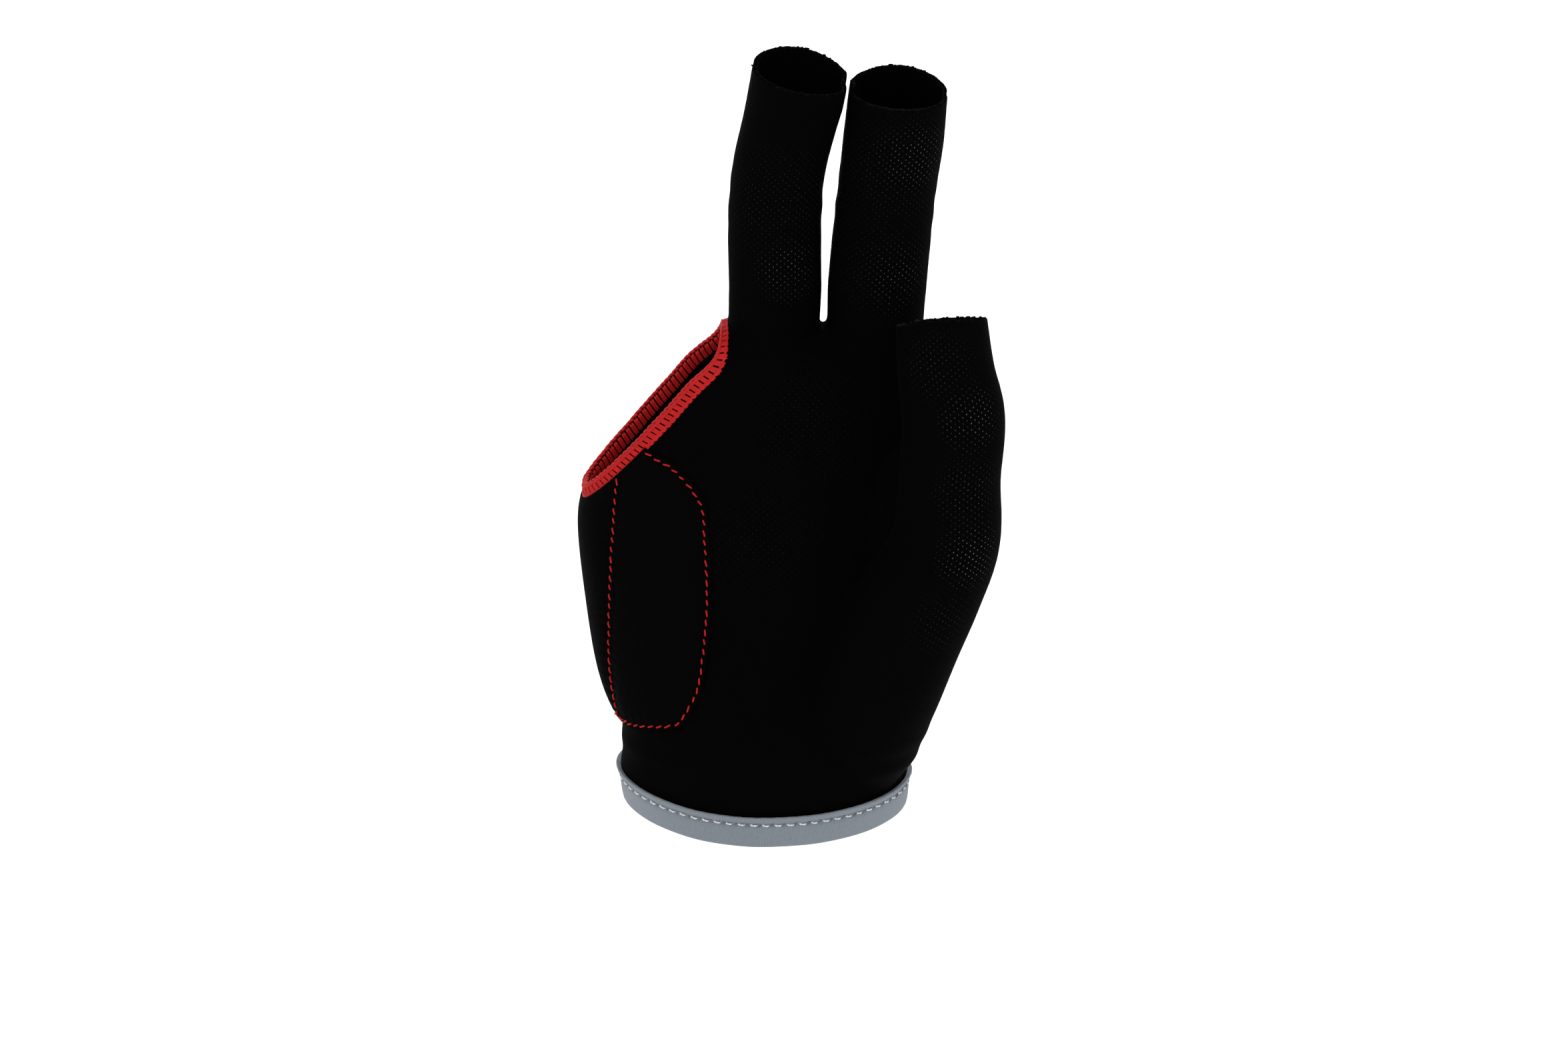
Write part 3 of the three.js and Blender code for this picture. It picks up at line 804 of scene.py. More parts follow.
def soft_folds(points):
    """Small pulls in the fabric: at the thumb's root, over the wrist, below the fingers and on them."""
    x, y, z = points.T
    front = y < 0
    root = np.exp(-(((x - 24) / 12) ** 2) - ((z - 62) / 22) ** 2)
    pulls = 0.22 * root * np.sin((x * 0.9 - z * 0.42) * 0.55 + 0.6 * np.sin(z * 0.09))
    wrist = np.exp(-(((z - 17) / 7) ** 2))
    rings = 0.2 * wrist * np.sin(z * 0.85 + 1.6 * np.sin(x * 0.07 + 0.8) + np.where(front, 0.0, 1.1))
    fork = np.exp(-(((x - BETWEEN_FINGERS) / 9) ** 2) - ((z - 112) / 9) ** 2)
    gather = 0.07 * fork * np.cos((x - BETWEEN_FINGERS) * 1.15)
    ridge = np.where(front, 0.0, 0.12) * np.exp(-(((z - 104) / 10) ** 2))
    ridge = ridge * np.sin(x * 0.5 + z * 0.16)
    bends = 0.09 * np.exp(-(((z - 146) / 7) ** 2)) * np.sin(z * 0.8 + 2.2 * np.sin(x * 0.33)) * front
    return pulls + rings + gather + ridge + bends


def border_points(piece):
    """The points on a piece's open edges, and the way each of them faces."""
    mesh = piece.data
    used = np.empty(len(mesh.loops), np.int32)
    mesh.loops.foreach_get("edge_index", used)
    ends = np.empty(len(mesh.edges) * 2, np.int32)
    mesh.edges.foreach_get("vertices", ends)
    once = np.bincount(used, minlength=len(mesh.edges)) == 1
    border = np.unique(ends.reshape(-1, 2)[once])
    return points_of(piece)[border], facings_of(piece)[border]


def sleeve_rims(skin):
    """The cut rim of each sleeve as a closed seam line, on the skin's outside."""
    points, facings = border_points(skin)
    rims = {}
    for name in SLEEVES:
        out, angle, _ = from_sleeve(name, points)
        centre, axis, _, _ = sleeve_axes(name, np.array([1.0]))
        level = np.abs(np.sum((points - centre) * axis, axis=1))
        here = (np.abs(out) < 3) & (level < 2) & (out < from_other_sleeves(name, points))
        order = np.argsort(-angle[here])
        rims[name] = seam_along(points[here][order], facings[here][order], closed=True)
    return rims


def evened(rows):
    """A closed row of points or directions, drawn a little towards their neighbours."""
    return rows + 0.25 * (np.roll(rows, 1, axis=0) + np.roll(rows, -1, axis=0) - 2 * rows)


def opening_seam(skin):
    """The cut edge of the side opening as a closed seam line in the middle of the fabric. It starts at
    the middle finger and runs down the palm side first."""
    points, facings = border_points(skin)
    from_middle = np.abs(points[:, 2] - 0.5 * (OPENING_LOW + OPENING_HIGH))
    here = (points[:, 0] < MIDDLE_LEFT + 3) & (from_middle < 28)
    points = points[here]
    middle = (points.min(axis=0) + points.max(axis=0)) / 2
    slope = unit(np.array([1.0, 0.0, OPENING_SLOPE]))
    turn = np.mod(np.arctan2(middle[1] - points[:, 1], (points - middle) @ slope), 2 * math.pi)
    order = np.argsort(turn)
    seam = seam_along(points[order], facings[here][order], closed=True)
    line = seam["line"][:-1]
    facing = seam["facing"][:-1]
    for _ in range(12):
        line = evened(line)
        facing = unit(evened(facing))
    return seam_along(line - facing * WALL / 2, facing, closed=True)


def knit_panels():
    """The palm, the back and the thumb sleeve, cut from one skin and given the fabric's thickness."""
    skin = whole_skin()
    cut_away(skin, kept_glove)
    points = points_of(skin)
    put_points(skin, points + facings_of(skin) * soft_folds(points)[:, None])
    pressed_seams(skin)
    seams = {"rims": sleeve_rims(skin), "opening": opening_seam(skin)}
    thumb = copy_of(skin, "thumb_fabric")
    cut_away(thumb, lambda points: -thumb_side(points))
    cut_away(skin, thumb_side)
    palm = copy_of(skin, "palm_fabric")
    cut_away(palm, lambda points: -seam_depth_line(points))
    back = copy_of(skin, "back_fabric")
    cut_away(back, seam_depth_line)
    bpy.data.objects.remove(skin)
    for panel, part in ((palm, "palm"), (back, "back"), (thumb, "thumb")):
        weave_map(panel, part)
        panel.data.attributes.remove(panel.data.attributes["place"])
        finished_with(panel, "SOLIDIFY", thickness=WALL * MM, offset=-1.0, use_rim=True)
    return palm, back, thumb, seams


# Lines along which stitches are laid

SEAM_STEP = 0.25


def seam_along(points, facings, closed=False):
    """A seam's own line, with the directions along it, down into the fabric and out of the fabric."""
    if closed:
        points = np.concatenate([points, points[:1]])
        facings = np.concatenate([facings, facings[:1]])
    run = run_along(points)
    even = np.linspace(0, run[-1], max(int(run[-1] / SEAM_STEP), 8) + 1)
    line = columns_at(even, run, points)
    facing = unit(columns_at(even, run, facings))
    if closed:
        along = np.roll(line[:-1], -1, axis=0) - np.roll(line[:-1], 1, axis=0)
        along = unit(np.concatenate([along, along[:1]]))
    else:
        along = unit(np.gradient(line, axis=0))
    facing = unit(facing - along * np.sum(facing * along, axis=1, keepdims=True))
    down = np.cross(facing, along)
    return {"run": even, "line": line, "along": along, "facing": facing, "down": down, "closed": closed}


def on_seam(seam, run, down, out):
    """Points given by their run along a seam and their ways down into the fabric and out of it."""
    length = seam["run"][-1]
    ahead = np.zeros_like(run)
    if seam["closed"]:
        run = np.mod(run, length)
    else:
        ahead = np.maximum(run - length, 0) + np.minimum(run, 0)
    keys = ("line", "along", "down", "facing")
    line, along, below, facing = [columns_at(run, seam["run"], seam[key]) for key in keys]
    return line + along * ahead[:, None] + below * down[:, None] + facing * out[:, None]


def thread(name, path, radius, sides=6, rings=12, flat=1.0):
    """One piece of thread laid along a short path of (run, down, out), with rounded ends. "flat" is how
    thick it is for its width."""
    piece = added(name, bpy.ops.mesh.primitive_uv_sphere_add, segments=sides, ring_count=rings, radius=1)
    ball = points_of(piece) * MM
    polar = np.arccos(np.clip(ball[:, 2], -1, 1))
    angle = np.arctan2(ball[:, 1], ball[:, 0])
    girth = radius * np.clip(np.sin(polar) * 2.2, 0, 1)
    path = np.array(path, float)
    run = run_along(path)
    fine = np.linspace(0, 1, 81)
    curve = columns_at(fine, run / run[-1], path)
    for _ in range(30):
        curve[1:-1] = 0.5 * curve[1:-1] + 0.25 * (curve[:-2] + curve[2:])
    tangent = unit(np.gradient(curve, axis=0))
    side = unit(np.cross(tangent, np.array([0.0, 0.0, 1.0]) + 0 * tangent))
    over = np.cross(side, tangent)
    middle, side, over = [columns_at(1 - polar / math.pi, fine, rows) for rows in (curve, side, over)]
    round_it = side * (girth * np.cos(angle))[:, None]
    put_points(piece, middle + round_it + over * (flat * girth * np.sin(angle))[:, None])
    merged(piece, 0.001)
    return piece


def sewn(name, seam, stitch, starts, dice, uneven, width_at=None):
    """Copies a stitch to each start along a seam, each copy a little uneven, and joins the copies.
    "width_at" narrows the stitches by their place along the seam."""
    shape = points_of(stitch)
    copies = []
    for start in starts:
        copy = copy_of(stitch, name + "_copy")
        laid = shape.copy()
        laid[:, 0] *= 1 + dice.uniform(-uneven, uneven)
        shift = dice.uniform(-uneven, uneven) * 0.5
        laid[:, 1] += shift + laid[:, 0] * dice.uniform(-uneven, uneven) * 0.5
        laid[:, 2] += dice.uniform(0, uneven) * 0.3
        if width_at is not None:
            laid[:, 1] *= width_at(start)
        put_points(copy, on_seam(seam, start + laid[:, 0], laid[:, 1], laid[:, 2]))
        copies.append(copy)
    bpy.data.objects.remove(stitch)
    return joined(name, copies)


# The raw rims of the sleeves

RIM_KNOT_PITCH = 0.8
RIM_FIBRE_PITCH = 2.4


def rim_fuzz(rims):
    """Cut knit loops and loose fibres along the rims, which have no hem."""
    rows = []
    for number, (name, rim) in enumerate(rims.items()):
        dice = random.Random(40 + number)
        length = rim["run"][-1]
        path = ((-0.3, 0.12, -0.55), (0.0, -0.02, -0.5), (0.3, 0.12, -0.45))
        knot = thread("rim_knot", path, 0.31, rings=5)
        knots = np.arange(0, length - RIM_KNOT_PITCH / 2, RIM_KNOT_PITCH)
        knots = knots + [dice.uniform(-0.25, 0.25) for _ in knots]
        rows.append(sewn(name + "_knots", rim, knot, knots, dice, 0.4))
        for lean in (-0.35, 0.3, 0.05):
            path = ((0.0, 0.3, -0.5), (0.3 * lean, 0.0, -0.45), (lean, -0.24, -0.3 + 0.4 * lean))
            fibre = thread("rim_fibre", path, 0.05, sides=4, rings=6)
            fibres = np.arange(0, length, RIM_FIBRE_PITCH)
            fibres = fibres + [dice.uniform(-0.9, 0.9) for _ in fibres]
            rows.append(sewn(name + "_fibres", rim, fibre, fibres, dice, 0.6))
    return joined("rim_fuzz", rows)


# The overlocked edge

OVERLOCK_PITCH = 1.45
OVERLOCK_WIDTH = 3.0
BAR_RADIUS = 0.32
ROPE_RADIUS = 0.4
LOOP_RADIUS = 0.34


def overlock_edge(seam):
    length = seam["run"][-1]
    count = int(round(length / OVERLOCK_PITCH))
    pitch = length / count
    starts = np.arange(count) * pitch
    dice = random.Random(11)

    def width_at(start):
        from_top = min(start % length, -start % length)
        return 0.6 + 0.4 * float(smooth_step(6, 14, from_top))

    def laid(name, path, radius, **form):
        """One thread, whose path gives its runs as shares of the pitch."""
        return thread(name, [(share * pitch, down, out) for share, down, out in path], radius, **form)

    def bar(side):
        """One thread over an outer (1) or inner (-1) face, from the edge down to the row of loops."""
        path = (
            (0.3, -0.05, side * 0.35),
            (0.22, 0.3, side * 0.85),
            (0.0, 1.5, side * 0.95),
            (-0.18, OVERLOCK_WIDTH - 0.5, side * 0.9),
            (-0.22, OVERLOCK_WIDTH, side * 0.62),
        )
        return laid("bar_thread", path, BAR_RADIUS, rings=11, flat=0.75)

    rope_path = ((-0.6, 0.35, 0.66), (0.0, -0.12, 0.6), (0.7, -0.32, 0.1), (1.3, -0.1, -0.5))
    edge_path = ((-0.75, 0.42, 0.92), (0.0, 0.22, 1.02), (0.75, 0.34, 0.92))
    foot_path = (
        (-0.55, OVERLOCK_WIDTH - 1.0, 0.86),
        (-0.1, OVERLOCK_WIDTH - 0.35, 1.0),
        (0.25, OVERLOCK_WIDTH - 0.4, 0.98),
        (0.6, OVERLOCK_WIDTH - 1.05, 0.86),
    )
    rope = laid("rope_thread", rope_path, ROPE_RADIUS, sides=8, rings=10)
    edge_loop = laid("edge_loop", edge_path, LOOP_RADIUS, rings=8, flat=0.8)
    foot_loop = laid("foot_loop", foot_path, LOOP_RADIUS, rings=9, flat=0.75)
    rows = []
    for side in (1, -1):
        for shift in (0.0, 0.37):
            rows.append(sewn("bars", seam, bar(side), starts + shift * pitch, dice, 0.08, width_at))
    for stitch, shift in ((rope, 0.0), (edge_loop, 0.3), (foot_loop, 0.1)):
        rows.append(sewn(stitch.name + "s", seam, stitch, starts + shift * pitch, dice, 0.06, width_at))
    return joined("overlock_stitches", rows)


# The heel pad

PAD_MESH = 0.75
PAD_EDGE = 0.9
PAD_PUFF = 1.7
PAD_MARGIN = 0.9
PAD_BELOW_EDGE = 2.2
PAD_SINK = 0.3
PAD_SCALE = 12.0
PAD_GROWTH = 0.9
PAD_FRAMES = 18
PAD_CLOTH = {
    "quality": 5,
    "mass": 0.3,
    "tension_stiffness": 12,
    "compression_stiffness": 12,
    "shear_stiffness": 5,
    "bending_stiffness": 0.3,
    "use_pressure": True,
    "uniform_pressure_force": 5.0,
}
PAD_PITCH = 2.35
STITCH_LEAN = 0.24
STITCH_LENGTH = 1.5
STITCH_RADIUS = 0.2

# The ground that the pad is cut from, as (reach, height)
PAD_LOW = np.array([-16.0, 22.5])
PAD_HIGH = np.array([37.5, 93.0])

# Where the rim's stitches were sewn twice, as runs along its line
SEWN_TWICE = (95.0, 103.5)


def smooth_line(table, spacing=0.5):
    """A table's places as one smooth line of evenly spaced points."""
    rows = np.stack([table["reach"], table["height"]], axis=1)
    run = run_along(rows)
    even = np.linspace(0, run[-1], int(run[-1] / spacing) + 1)
    by_run = {"run": run, **table}
    return np.stack([value_at(by_run, "reach", even), value_at(by_run, "height", even)], axis=1)


def to_line(points, line):
    """Each point's distance to a line, and the run along the line at the nearest place."""
    start = line[:-1]
    step = line[1:] - line[:-1]
    long = np.linalg.norm(step, axis=1)
    run = run_along(line)
    away = points[:, None, :] - start[None]
    share = np.clip(np.sum(away * step[None], axis=2) / long[None] ** 2, 0, 1)
    gap = np.linalg.norm(away - share[..., None] * step[None], axis=2)
    nearest = gap.argmin(axis=1)
    rows = np.arange(len(points))
    return gap[rows, nearest], run[nearest] + share[rows, nearest] * long[nearest]


def inside_line(points, line):
    """True for each point inside a closed line."""
    inside = np.zeros(len(points), bool)
    x, y = points.T
    for (x1, y1), (x2, y2) in zip(line, np.roll(line, -1, axis=0)):
        crosses = (y1 > y) != (y2 > y)
        if crosses.any():
            at = x1 + (y - y1) / (y2 - y1 if y2 != y1 else 1e-9) * (x2 - x1)
            inside ^= crosses & (x < at)
    return inside


PAD_STITCH_LINE = smooth_line(PAD_LINE)
PAD_QUILT_LINE = smooth_line(QUILT_LINE)


def below_opening(reach, height):
    """How far a place on the palm lies below the overlocked edge's line."""
    turn = turn_at_reach(height, reach)
    x = palm_point(turn, height)[:, 0]
    return (opening_height(x) - height) / math.hypot(1, OPENING_SLOPE)


def pad_fields(flat):
    """For places (reach, height): the ways in from the pad's rim and from its top, the way to its
    quilting line, and the runs along both stitch lines."""
    gap, run = to_line(flat, PAD_STITCH_LINE)
    inside = inside_line(flat, PAD_STITCH_LINE)
    rim = np.where(inside, gap, -gap)
    top = below_opening(flat[:, 0], flat[:, 1]) - PAD_BELOW_EDGE
    quilt, quilt_run = to_line(flat, PAD_QUILT_LINE)
    return rim, run, top, quilt, quilt_run


def pad_height(rim, run, top, quilt, quilt_run):
    """The pad's thickness over the palm: two crowned cells, drawn in at every stitch."""
    to_edge = np.minimum(rim, top)
    crown = 1 - np.exp(-np.clip(to_edge, 0, None) / 3.0)
    cell = 1 - 0.62 * np.exp(-((quilt / 2.1) ** 2))
    bend = 1 - 0.12 * np.exp(-((quilt - 9) ** 2) / 40)
    height = PAD_EDGE + PAD_PUFF * crown * cell * bend
    at_rim = np.cos(2 * math.pi * run / PAD_PITCH)
    at_quilt = np.cos(2 * math.pi * quilt_run / PAD_PITCH)
    height = height - 0.16 * at_rim * np.exp(-(((rim - 1.4) / 1.6) ** 2)) * (to_edge > -0.5)
    return height - 0.16 * at_quilt * np.exp(-(((quilt - 1.2) / 1.5) ** 2))


def heel_pad_cover():
    size = PAD_HIGH - PAD_LOW
    steps = (size / PAD_MESH).astype(int)

    def place(u, v):
        flat = PAD_LOW + np.stack([u, v], axis=1) * size
        return np.stack([flat[:, 0], flat[:, 1], 0 * u], axis=1)

    def keep(points):
        rim, _, top, _, _ = pad_fields(points[:, :2])
        return np.minimum(rim + PAD_MARGIN, top)

    pad = shaped_grid("heel_pad_cover", *steps, place, *size)
    cut_away(pad, keep)
    pad.data.attributes.remove(pad.data.attributes["place"])
    flat = points_of(pad)[:, :2]
    fields = pad_fields(flat)
    turn = turn_at_reach(flat[:, 1], flat[:, 0])
    surface = palm_point(turn, flat[:, 1])
    facing = palm_facing(turn, flat[:, 1])
    start = surface + facing * pad_height(*fields)[:, None]
    put_points(pad, start)
    put_points(pad, swelled_pad(pad, start, fields))
    outer = points_of(pad)
    finished_with(pad, "SOLIDIFY", thickness=0.5 * MM, offset=-1.0, use_rim=True)
    put_points(pad, np.concatenate([outer, surface - facing * PAD_SINK]))
    in_edit_mode(pad, lambda: bpy.ops.mesh.normals_make_consistent(inside=False))
    return pad


def swelled_pad(pad, start, fields):
    """The pad's cover blown up by its filling, held at its rim and at every stitch of its quilting."""
    rim, _, top, quilt, quilt_run = fields
    bag = copy_of(pad, "pad_bag")
    put_points(bag, start * PAD_SCALE)
    held = bag.vertex_groups.new(name="held")
    stitched = (rim < 0.6) | (top < 1.0)
    at_stitch = (quilt < 0.65) & (np.cos(2 * math.pi * quilt_run / PAD_PITCH) > -0.2)
    for index in np.flatnonzero(stitched | at_stitch):
        held.add([int(index)], 1.0, "REPLACE")
    take(bag)
    cloth = bag.modifiers.new("Cloth", "CLOTH")
    for key, value in PAD_CLOTH.items():
        setattr(cloth.settings, key, value)
    cloth.settings.vertex_group_mass = held.name
    cloth.settings.effector_weights.gravity = 0.0
    cloth.collision_settings.use_collision = False
    cloth.point_cache.frame_start = 1
    cloth.point_cache.frame_end = PAD_FRAMES
    for number in range(1, PAD_FRAMES + 1):
        bpy.context.scene.frame_set(number)
    bpy.ops.object.modifier_apply(modifier=cloth.name)
    bpy.context.scene.frame_set(1)
    moved = points_of(bag) / PAD_SCALE - start
    bpy.data.objects.remove(bag)
    far = np.linalg.norm(moved, axis=1, keepdims=True)
    return start + moved * np.minimum(1, PAD_GROWTH / np.maximum(far, 1e-6))


def pad_seam(line, lift):
    """A stitch line on the pad, as a seam whose stitches can be laid."""
    flat = line[below_opening(line[:, 0], line[:, 1]) > OVERLOCK_WIDTH - 0.4]
    turn = turn_at_reach(flat[:, 1], flat[:, 0])
    facing = palm_facing(turn, flat[:, 1])
    height = pad_height(*pad_fields(flat))[:, None] + lift
    return seam_along(palm_point(turn, flat[:, 1]) + facing * height, facing)


def dashes(name, seam, pitch, seed):
    """A row of separate stitches: each a short arched thread that dips into the fabric at both ends."""
    lean = STITCH_LEAN * STITCH_LENGTH / 2
    path = (
        (0.0, -lean, -0.25),
        (0.12 * STITCH_LENGTH, -0.8 * lean, 0.08),
        (0.5 * STITCH_LENGTH, 0.04, 0.16),
        (0.88 * STITCH_LENGTH, 0.8 * lean, 0.08),
        (STITCH_LENGTH, lean, -0.25),
    )
    stitch = thread(name + "_thread", path, STITCH_RADIUS, sides=8, rings=10)
    starts = (np.arange(int(seam["run"][-1] / pitch)) + 0.15) * pitch
    return sewn(name, seam, stitch, starts, random.Random(seed), 0.16)


def pad_stitches():
    rim = pad_seam(PAD_STITCH_LINE, 0.04)
    quilt = pad_seam(PAD_QUILT_LINE, 0.12)
    run = to_line(PAD_STITCH_LINE, PAD_STITCH_LINE)[1]
    again = PAD_STITCH_LINE[(run > SEWN_TWICE[0]) & (run < SEWN_TWICE[1])]
    twice = pad_seam(again + [0.0, 0.45], 0.1)
    rows = [
        dashes("rim_stitches", rim, PAD_PITCH, 5),
        dashes("quilt_stitches", quilt, PAD_PITCH, 6),
        dashes("doubled_stitches", twice, 0.7 * PAD_PITCH, 7),
    ]
    return joined("pad_stitches", rows)


# The wrist binding

BINDING_STITCH_DROP = 2.1
BINDING_PITCH = 2.75
BINDING_FLARE = 0.4
BINDING_THREAD = 0.13


def hem_point(turn, height, offset):
    """A point at the hem, whose sides are straight between its two outlines."""
    low = palm_point(turn, 0 * height, offset)
    high = palm_point(turn, 0 * height + BINDING_HEIGHT, offset)
    share = np.clip(height / BINDING_HEIGHT, 0, 1)[..., None]
    point = low + (high - low) * share
    point[..., 2] = height + hem_lift(point[..., 0])
    return point


BINDING_OUTSIDE = CLEARANCE + BINDING_TAPE
BINDING_TOP = BINDING_HEIGHT - 0.2

# The tape's section from the top of its outer leg, down and round the fold to the top of its inner leg,
# then back along its inside. Out is from the fabric's outer face.
BINDING_PROFILE = columns(
    "out height",
    (
        (0.5, 7.1),
        (0.85, 7.22),
        (1.15, 7.1),
        (1.3, 6.7),
        (1.24, 6.2),
        (1.04, 5.65),
        (0.88, 5.2),
        (1.0, 4.7),
        (1.18, 4.0),
        (1.25, 2.4),
        (1.28, 1.0),
        (1.26, 0.2),
        (1.1, -0.55),
        (0.65, -1.05),
        (0.05, -1.2),
        (-0.9, -1.2),
        (-1.6, -1.05),
        (-2.0, -0.55),
        (-2.15, 0.2),
        (-2.15, 2.0),
        (-2.1, 3.4),
        (-1.95, 4.2),
        (-2.15, 5.1),
        (-2.2, 5.7),
        (-1.95, 6.15),
        (-1.55, 6.2),
        (-1.3, 5.7),
        (-1.2, 4.2),
        (-1.2, 1.5),
        (-1.15, -0.1),
        (-0.5, -0.3),
        (0.2, -0.1),
        (0.25, 1.5),
        (0.25, 4.2),
        (0.35, 6.5),
        (0.5, 7.1),
    ),
)


def hem_run():
    """Turns round the hem, and how far the tape has run at each of them."""
    turns = np.linspace(0, 2 * math.pi, 721)
    return turns, run_along(hem_point(turns, 0 * turns, BINDING_OUTSIDE))


def even_turns(shares):
    """Turns that divide the hem evenly."""
    turns, run = hem_run()
    return np.interp(shares, run / run[-1], turns)


def wrist_tape():
    profile = np.stack([BINDING_PROFILE["out"], BINDING_PROFILE["height"]], axis=1)
    run = run_along(profile)
    length = hem_run()[1][-1]
    stitches = int(round(length / BINDING_PITCH))
    by_run = {"run": run, **BINDING_PROFILE}

    def place(u, v):
        out = value_at(by_run, "out", v * run[-1])
        height = value_at(by_run, "height", v * run[-1])
        turn = even_turns(u)
        beat = np.cos(2 * math.pi * stitches * u)
        outer = out > 0.6
        near_stitch = np.exp(-(((height - (BINDING_TOP - BINDING_STITCH_DROP + 0.1)) / 0.75) ** 2))
        near_top = smooth_step(BINDING_TOP - 1.6, BINDING_TOP, height)
        out = out - np.where(outer, 0.2 * (0.5 + 0.5 * beat) * near_stitch, 0)
        out = out + np.where(outer, (BINDING_FLARE + 0.03 * beat) * near_top, 0)
        height = height + np.where(height > BINDING_TOP - 1.0, -0.02 * beat, 0)
        slow = 0.1 * np.sin(2 * math.pi * u * 5 + 0.7) + 0.07 * np.sin(2 * math.pi * u * 13 + 2.1)
        return hem_point(turn, height + slow * 0.6, out + slow * 0.5)

    tape = shaped_grid("wrist_tape", stitches * 8, 70, place, length, run[-1])
    merged(tape, 0.01)
    return tape, stitches


def wrist_stitches(stitches):
    turn = even_turns(np.linspace(0, 1, 721)[:-1])
    height = np.full_like(turn, BINDING_TOP - BINDING_STITCH_DROP)
    points = hem_point(turn, height, 0.95)
    facing = palm_facing(turn, height)
    seam = seam_along(points[::-1], facing[::-1], closed=True)
    pitch = seam["run"][-1] / stitches
    strands = []
    for phase in (0.0, math.pi):
        path = []
        for step in np.linspace(0, 1, 13):
            swing = phase + step * 2.6 * math.pi
            sink = 0.42 * abs(2 * step - 1) ** 3
            across = 0.1 * math.sin(swing) + 0.3 * (0.5 - step)
            path.append((0.66 * pitch * step, across, 0.1 * math.cos(swing) + 0.16 - sink))
        strands.append(thread("strand", path, BINDING_THREAD, rings=14))
    stitch = joined("wrist_stitch", strands)
    starts = np.arange(stitches) * pitch
    light = sewn("wrist_stitches", seam, stitch, starts, random.Random(3), 0.08)
    # Dark grey pieces across the end of each stitch: painted shade of the needle holes where the thread
    # enters the tape.
    path = ((0.66, -0.4, 0.05), (0.78, -0.1, 0.2), (0.88, 0.12, 0.2), (1.02, 0.4, 0.0))
    path = [(share * pitch, down, out) for share, down, out in path]
    hole_shade = thread("wrist_hole_shade", path, BINDING_THREAD, rings=8)
    dark = sewn("wrist_hole_shades", seam, hole_shade, starts, random.Random(4), 0.1)
    return light, dark


# Finishes


class Finish:
    """A material, made node by node."""

    def __init__(self, name, **sockets):
        self.material = bpy.data.materials.new(name)
        self.material.use_nodes = True
        self.nodes = self.material.node_tree.nodes
        self.links = self.material.node_tree.links
        self.shader = self.nodes["Principled BSDF"]
        for socket, value in sockets.items():
            self.shader.inputs[socket.replace("_", " ")].default_value = value

    def node(self, kind, inputs, output=0, **settings):
        made = self.nodes.new(kind)
        for key, value in settings.items():
            setattr(made, key, value)
        for key, value in inputs.items():
            if isinstance(value, bpy.types.NodeSocket):
                self.links.new(value, made.inputs[key])
            else:
                made.inputs[key].default_value = value
        return made.outputs[output]

    def math(self, operation, first, second=0.0, third=0.0):
        return self.node("ShaderNodeMath", {0: first, 1: second, 2: third}, operation=operation)

    def times(self, first, second):
        return self.math("MULTIPLY", first, second)

    def wave(self, value, pitch):
        return self.math("SINE", self.times(value, 2 * math.pi / pitch))

    def mix(self, share, first, second):
        return self.node("ShaderNodeMix", {0: share, 6: first, 7: second}, output=2, data_type="RGBA")

    def ramp(self, value, low, high, first=0.0, last=1.0, shape="LINEAR"):
        inputs = {0: value, 1: low, 2: high, 3: first, 4: last}
        return self.node("ShaderNodeMapRange", inputs, interpolation_type=shape)

    def place(self):
        """The point on the piece, in metres."""
        return self.node("ShaderNodeTexCoord", {}, output="Object")

    def noise(self, scale, detail=2.0, roughness=0.5):
        inputs = {"Vector": self.place(), "Scale": scale, "Detail": detail, "Roughness": roughness}
        return self.node("ShaderNodeTexNoise", inputs)

    def weave_parts(self):
        """The piece's own map in millimetres, as its two numbers."""
        parts = self.nodes.new("ShaderNodeSeparateXYZ")
        self.links.new(self.node("ShaderNodeUVMap", {}, uv_map="Weave"), parts.inputs[0])
        return parts.outputs[0], parts.outputs[1]

    def bump(self, height, strength, distance, after=None):
        inputs = {"Height": height, "Strength": strength, "Distance": distance}
        if after is not None:
            inputs["Normal"] = after
        return self.node("ShaderNodeBump", inputs)

    def made(self, colour, normal=None):
        """The finished material, once its colour and its relief are wired."""
        self.links.new(colour, self.shader.inputs["Base Color"])
        if normal is not None:
            self.links.new(normal, self.shader.inputs["Normal"])
        return self.material


def grey(value):
    return (value, value, value, 1.0)


DOT_COLUMNS = 1.7
DOT_ROWS = 1.45
DOT_NARROWING = 1.8
# The dots' light grey is painted highlight, where light falls on the opened mesh.
DOT_HIGHLIGHT_COLOUR = (0.28, 0.29, 0.3, 1.0)
KNIT_BLACK = 0.0006

# How the black fabrics shine
BLACK_SHINE = {
    "Specular_IOR_Level": 0.01,
    "Sheen_Weight": 0.006,
    "Sheen_Roughness": 0.22,
    "Sheen_Tint": (0.6, 0.62, 0.66, 1.0),
}

# Where the knit is stretched and its mesh opens, and where light falls on it, so that its dots show as
# painted highlight: x, y, z, reach and how much of the mesh shows
STRETCHED_AND_LIT = (
    (32.5, -16.0, 160.0, 12.0, 0.6),
    (31.0, -16.0, 156.0, 20.0, 0.14),
    (31.0, -14.0, 130.5, 12.5, 0.5),
    (28.0, -14.0, 133.0, 18.0, 0.1),
    (6.0, -12.0, 132.5, 10.5, 0.45),
    (5.0, -12.0, 148.0, 22.0, 0.1),
    (46.5, -35.0, 105.0, 10.5, 0.62),
    (46.5, -36.0, 88.0, 12.0, 0.3),
    (47.5, -36.0, 73.0, 11.5, 0.85),
    (41.0, -36.0, 56.0, 12.0, 0.14),
    (38.0, -30.0, 116.0, 11.0, 0.16),
    (10.0, -18.0, 98.0, 22.0, 0.04),
    (-2.0, -20.0, 72.0, 24.0, 0.03),
    (20.0, 19.0, 84.0, 40.0, 0.1),
    (46.0, 4.0, 84.0, 22.0, 0.2),
)


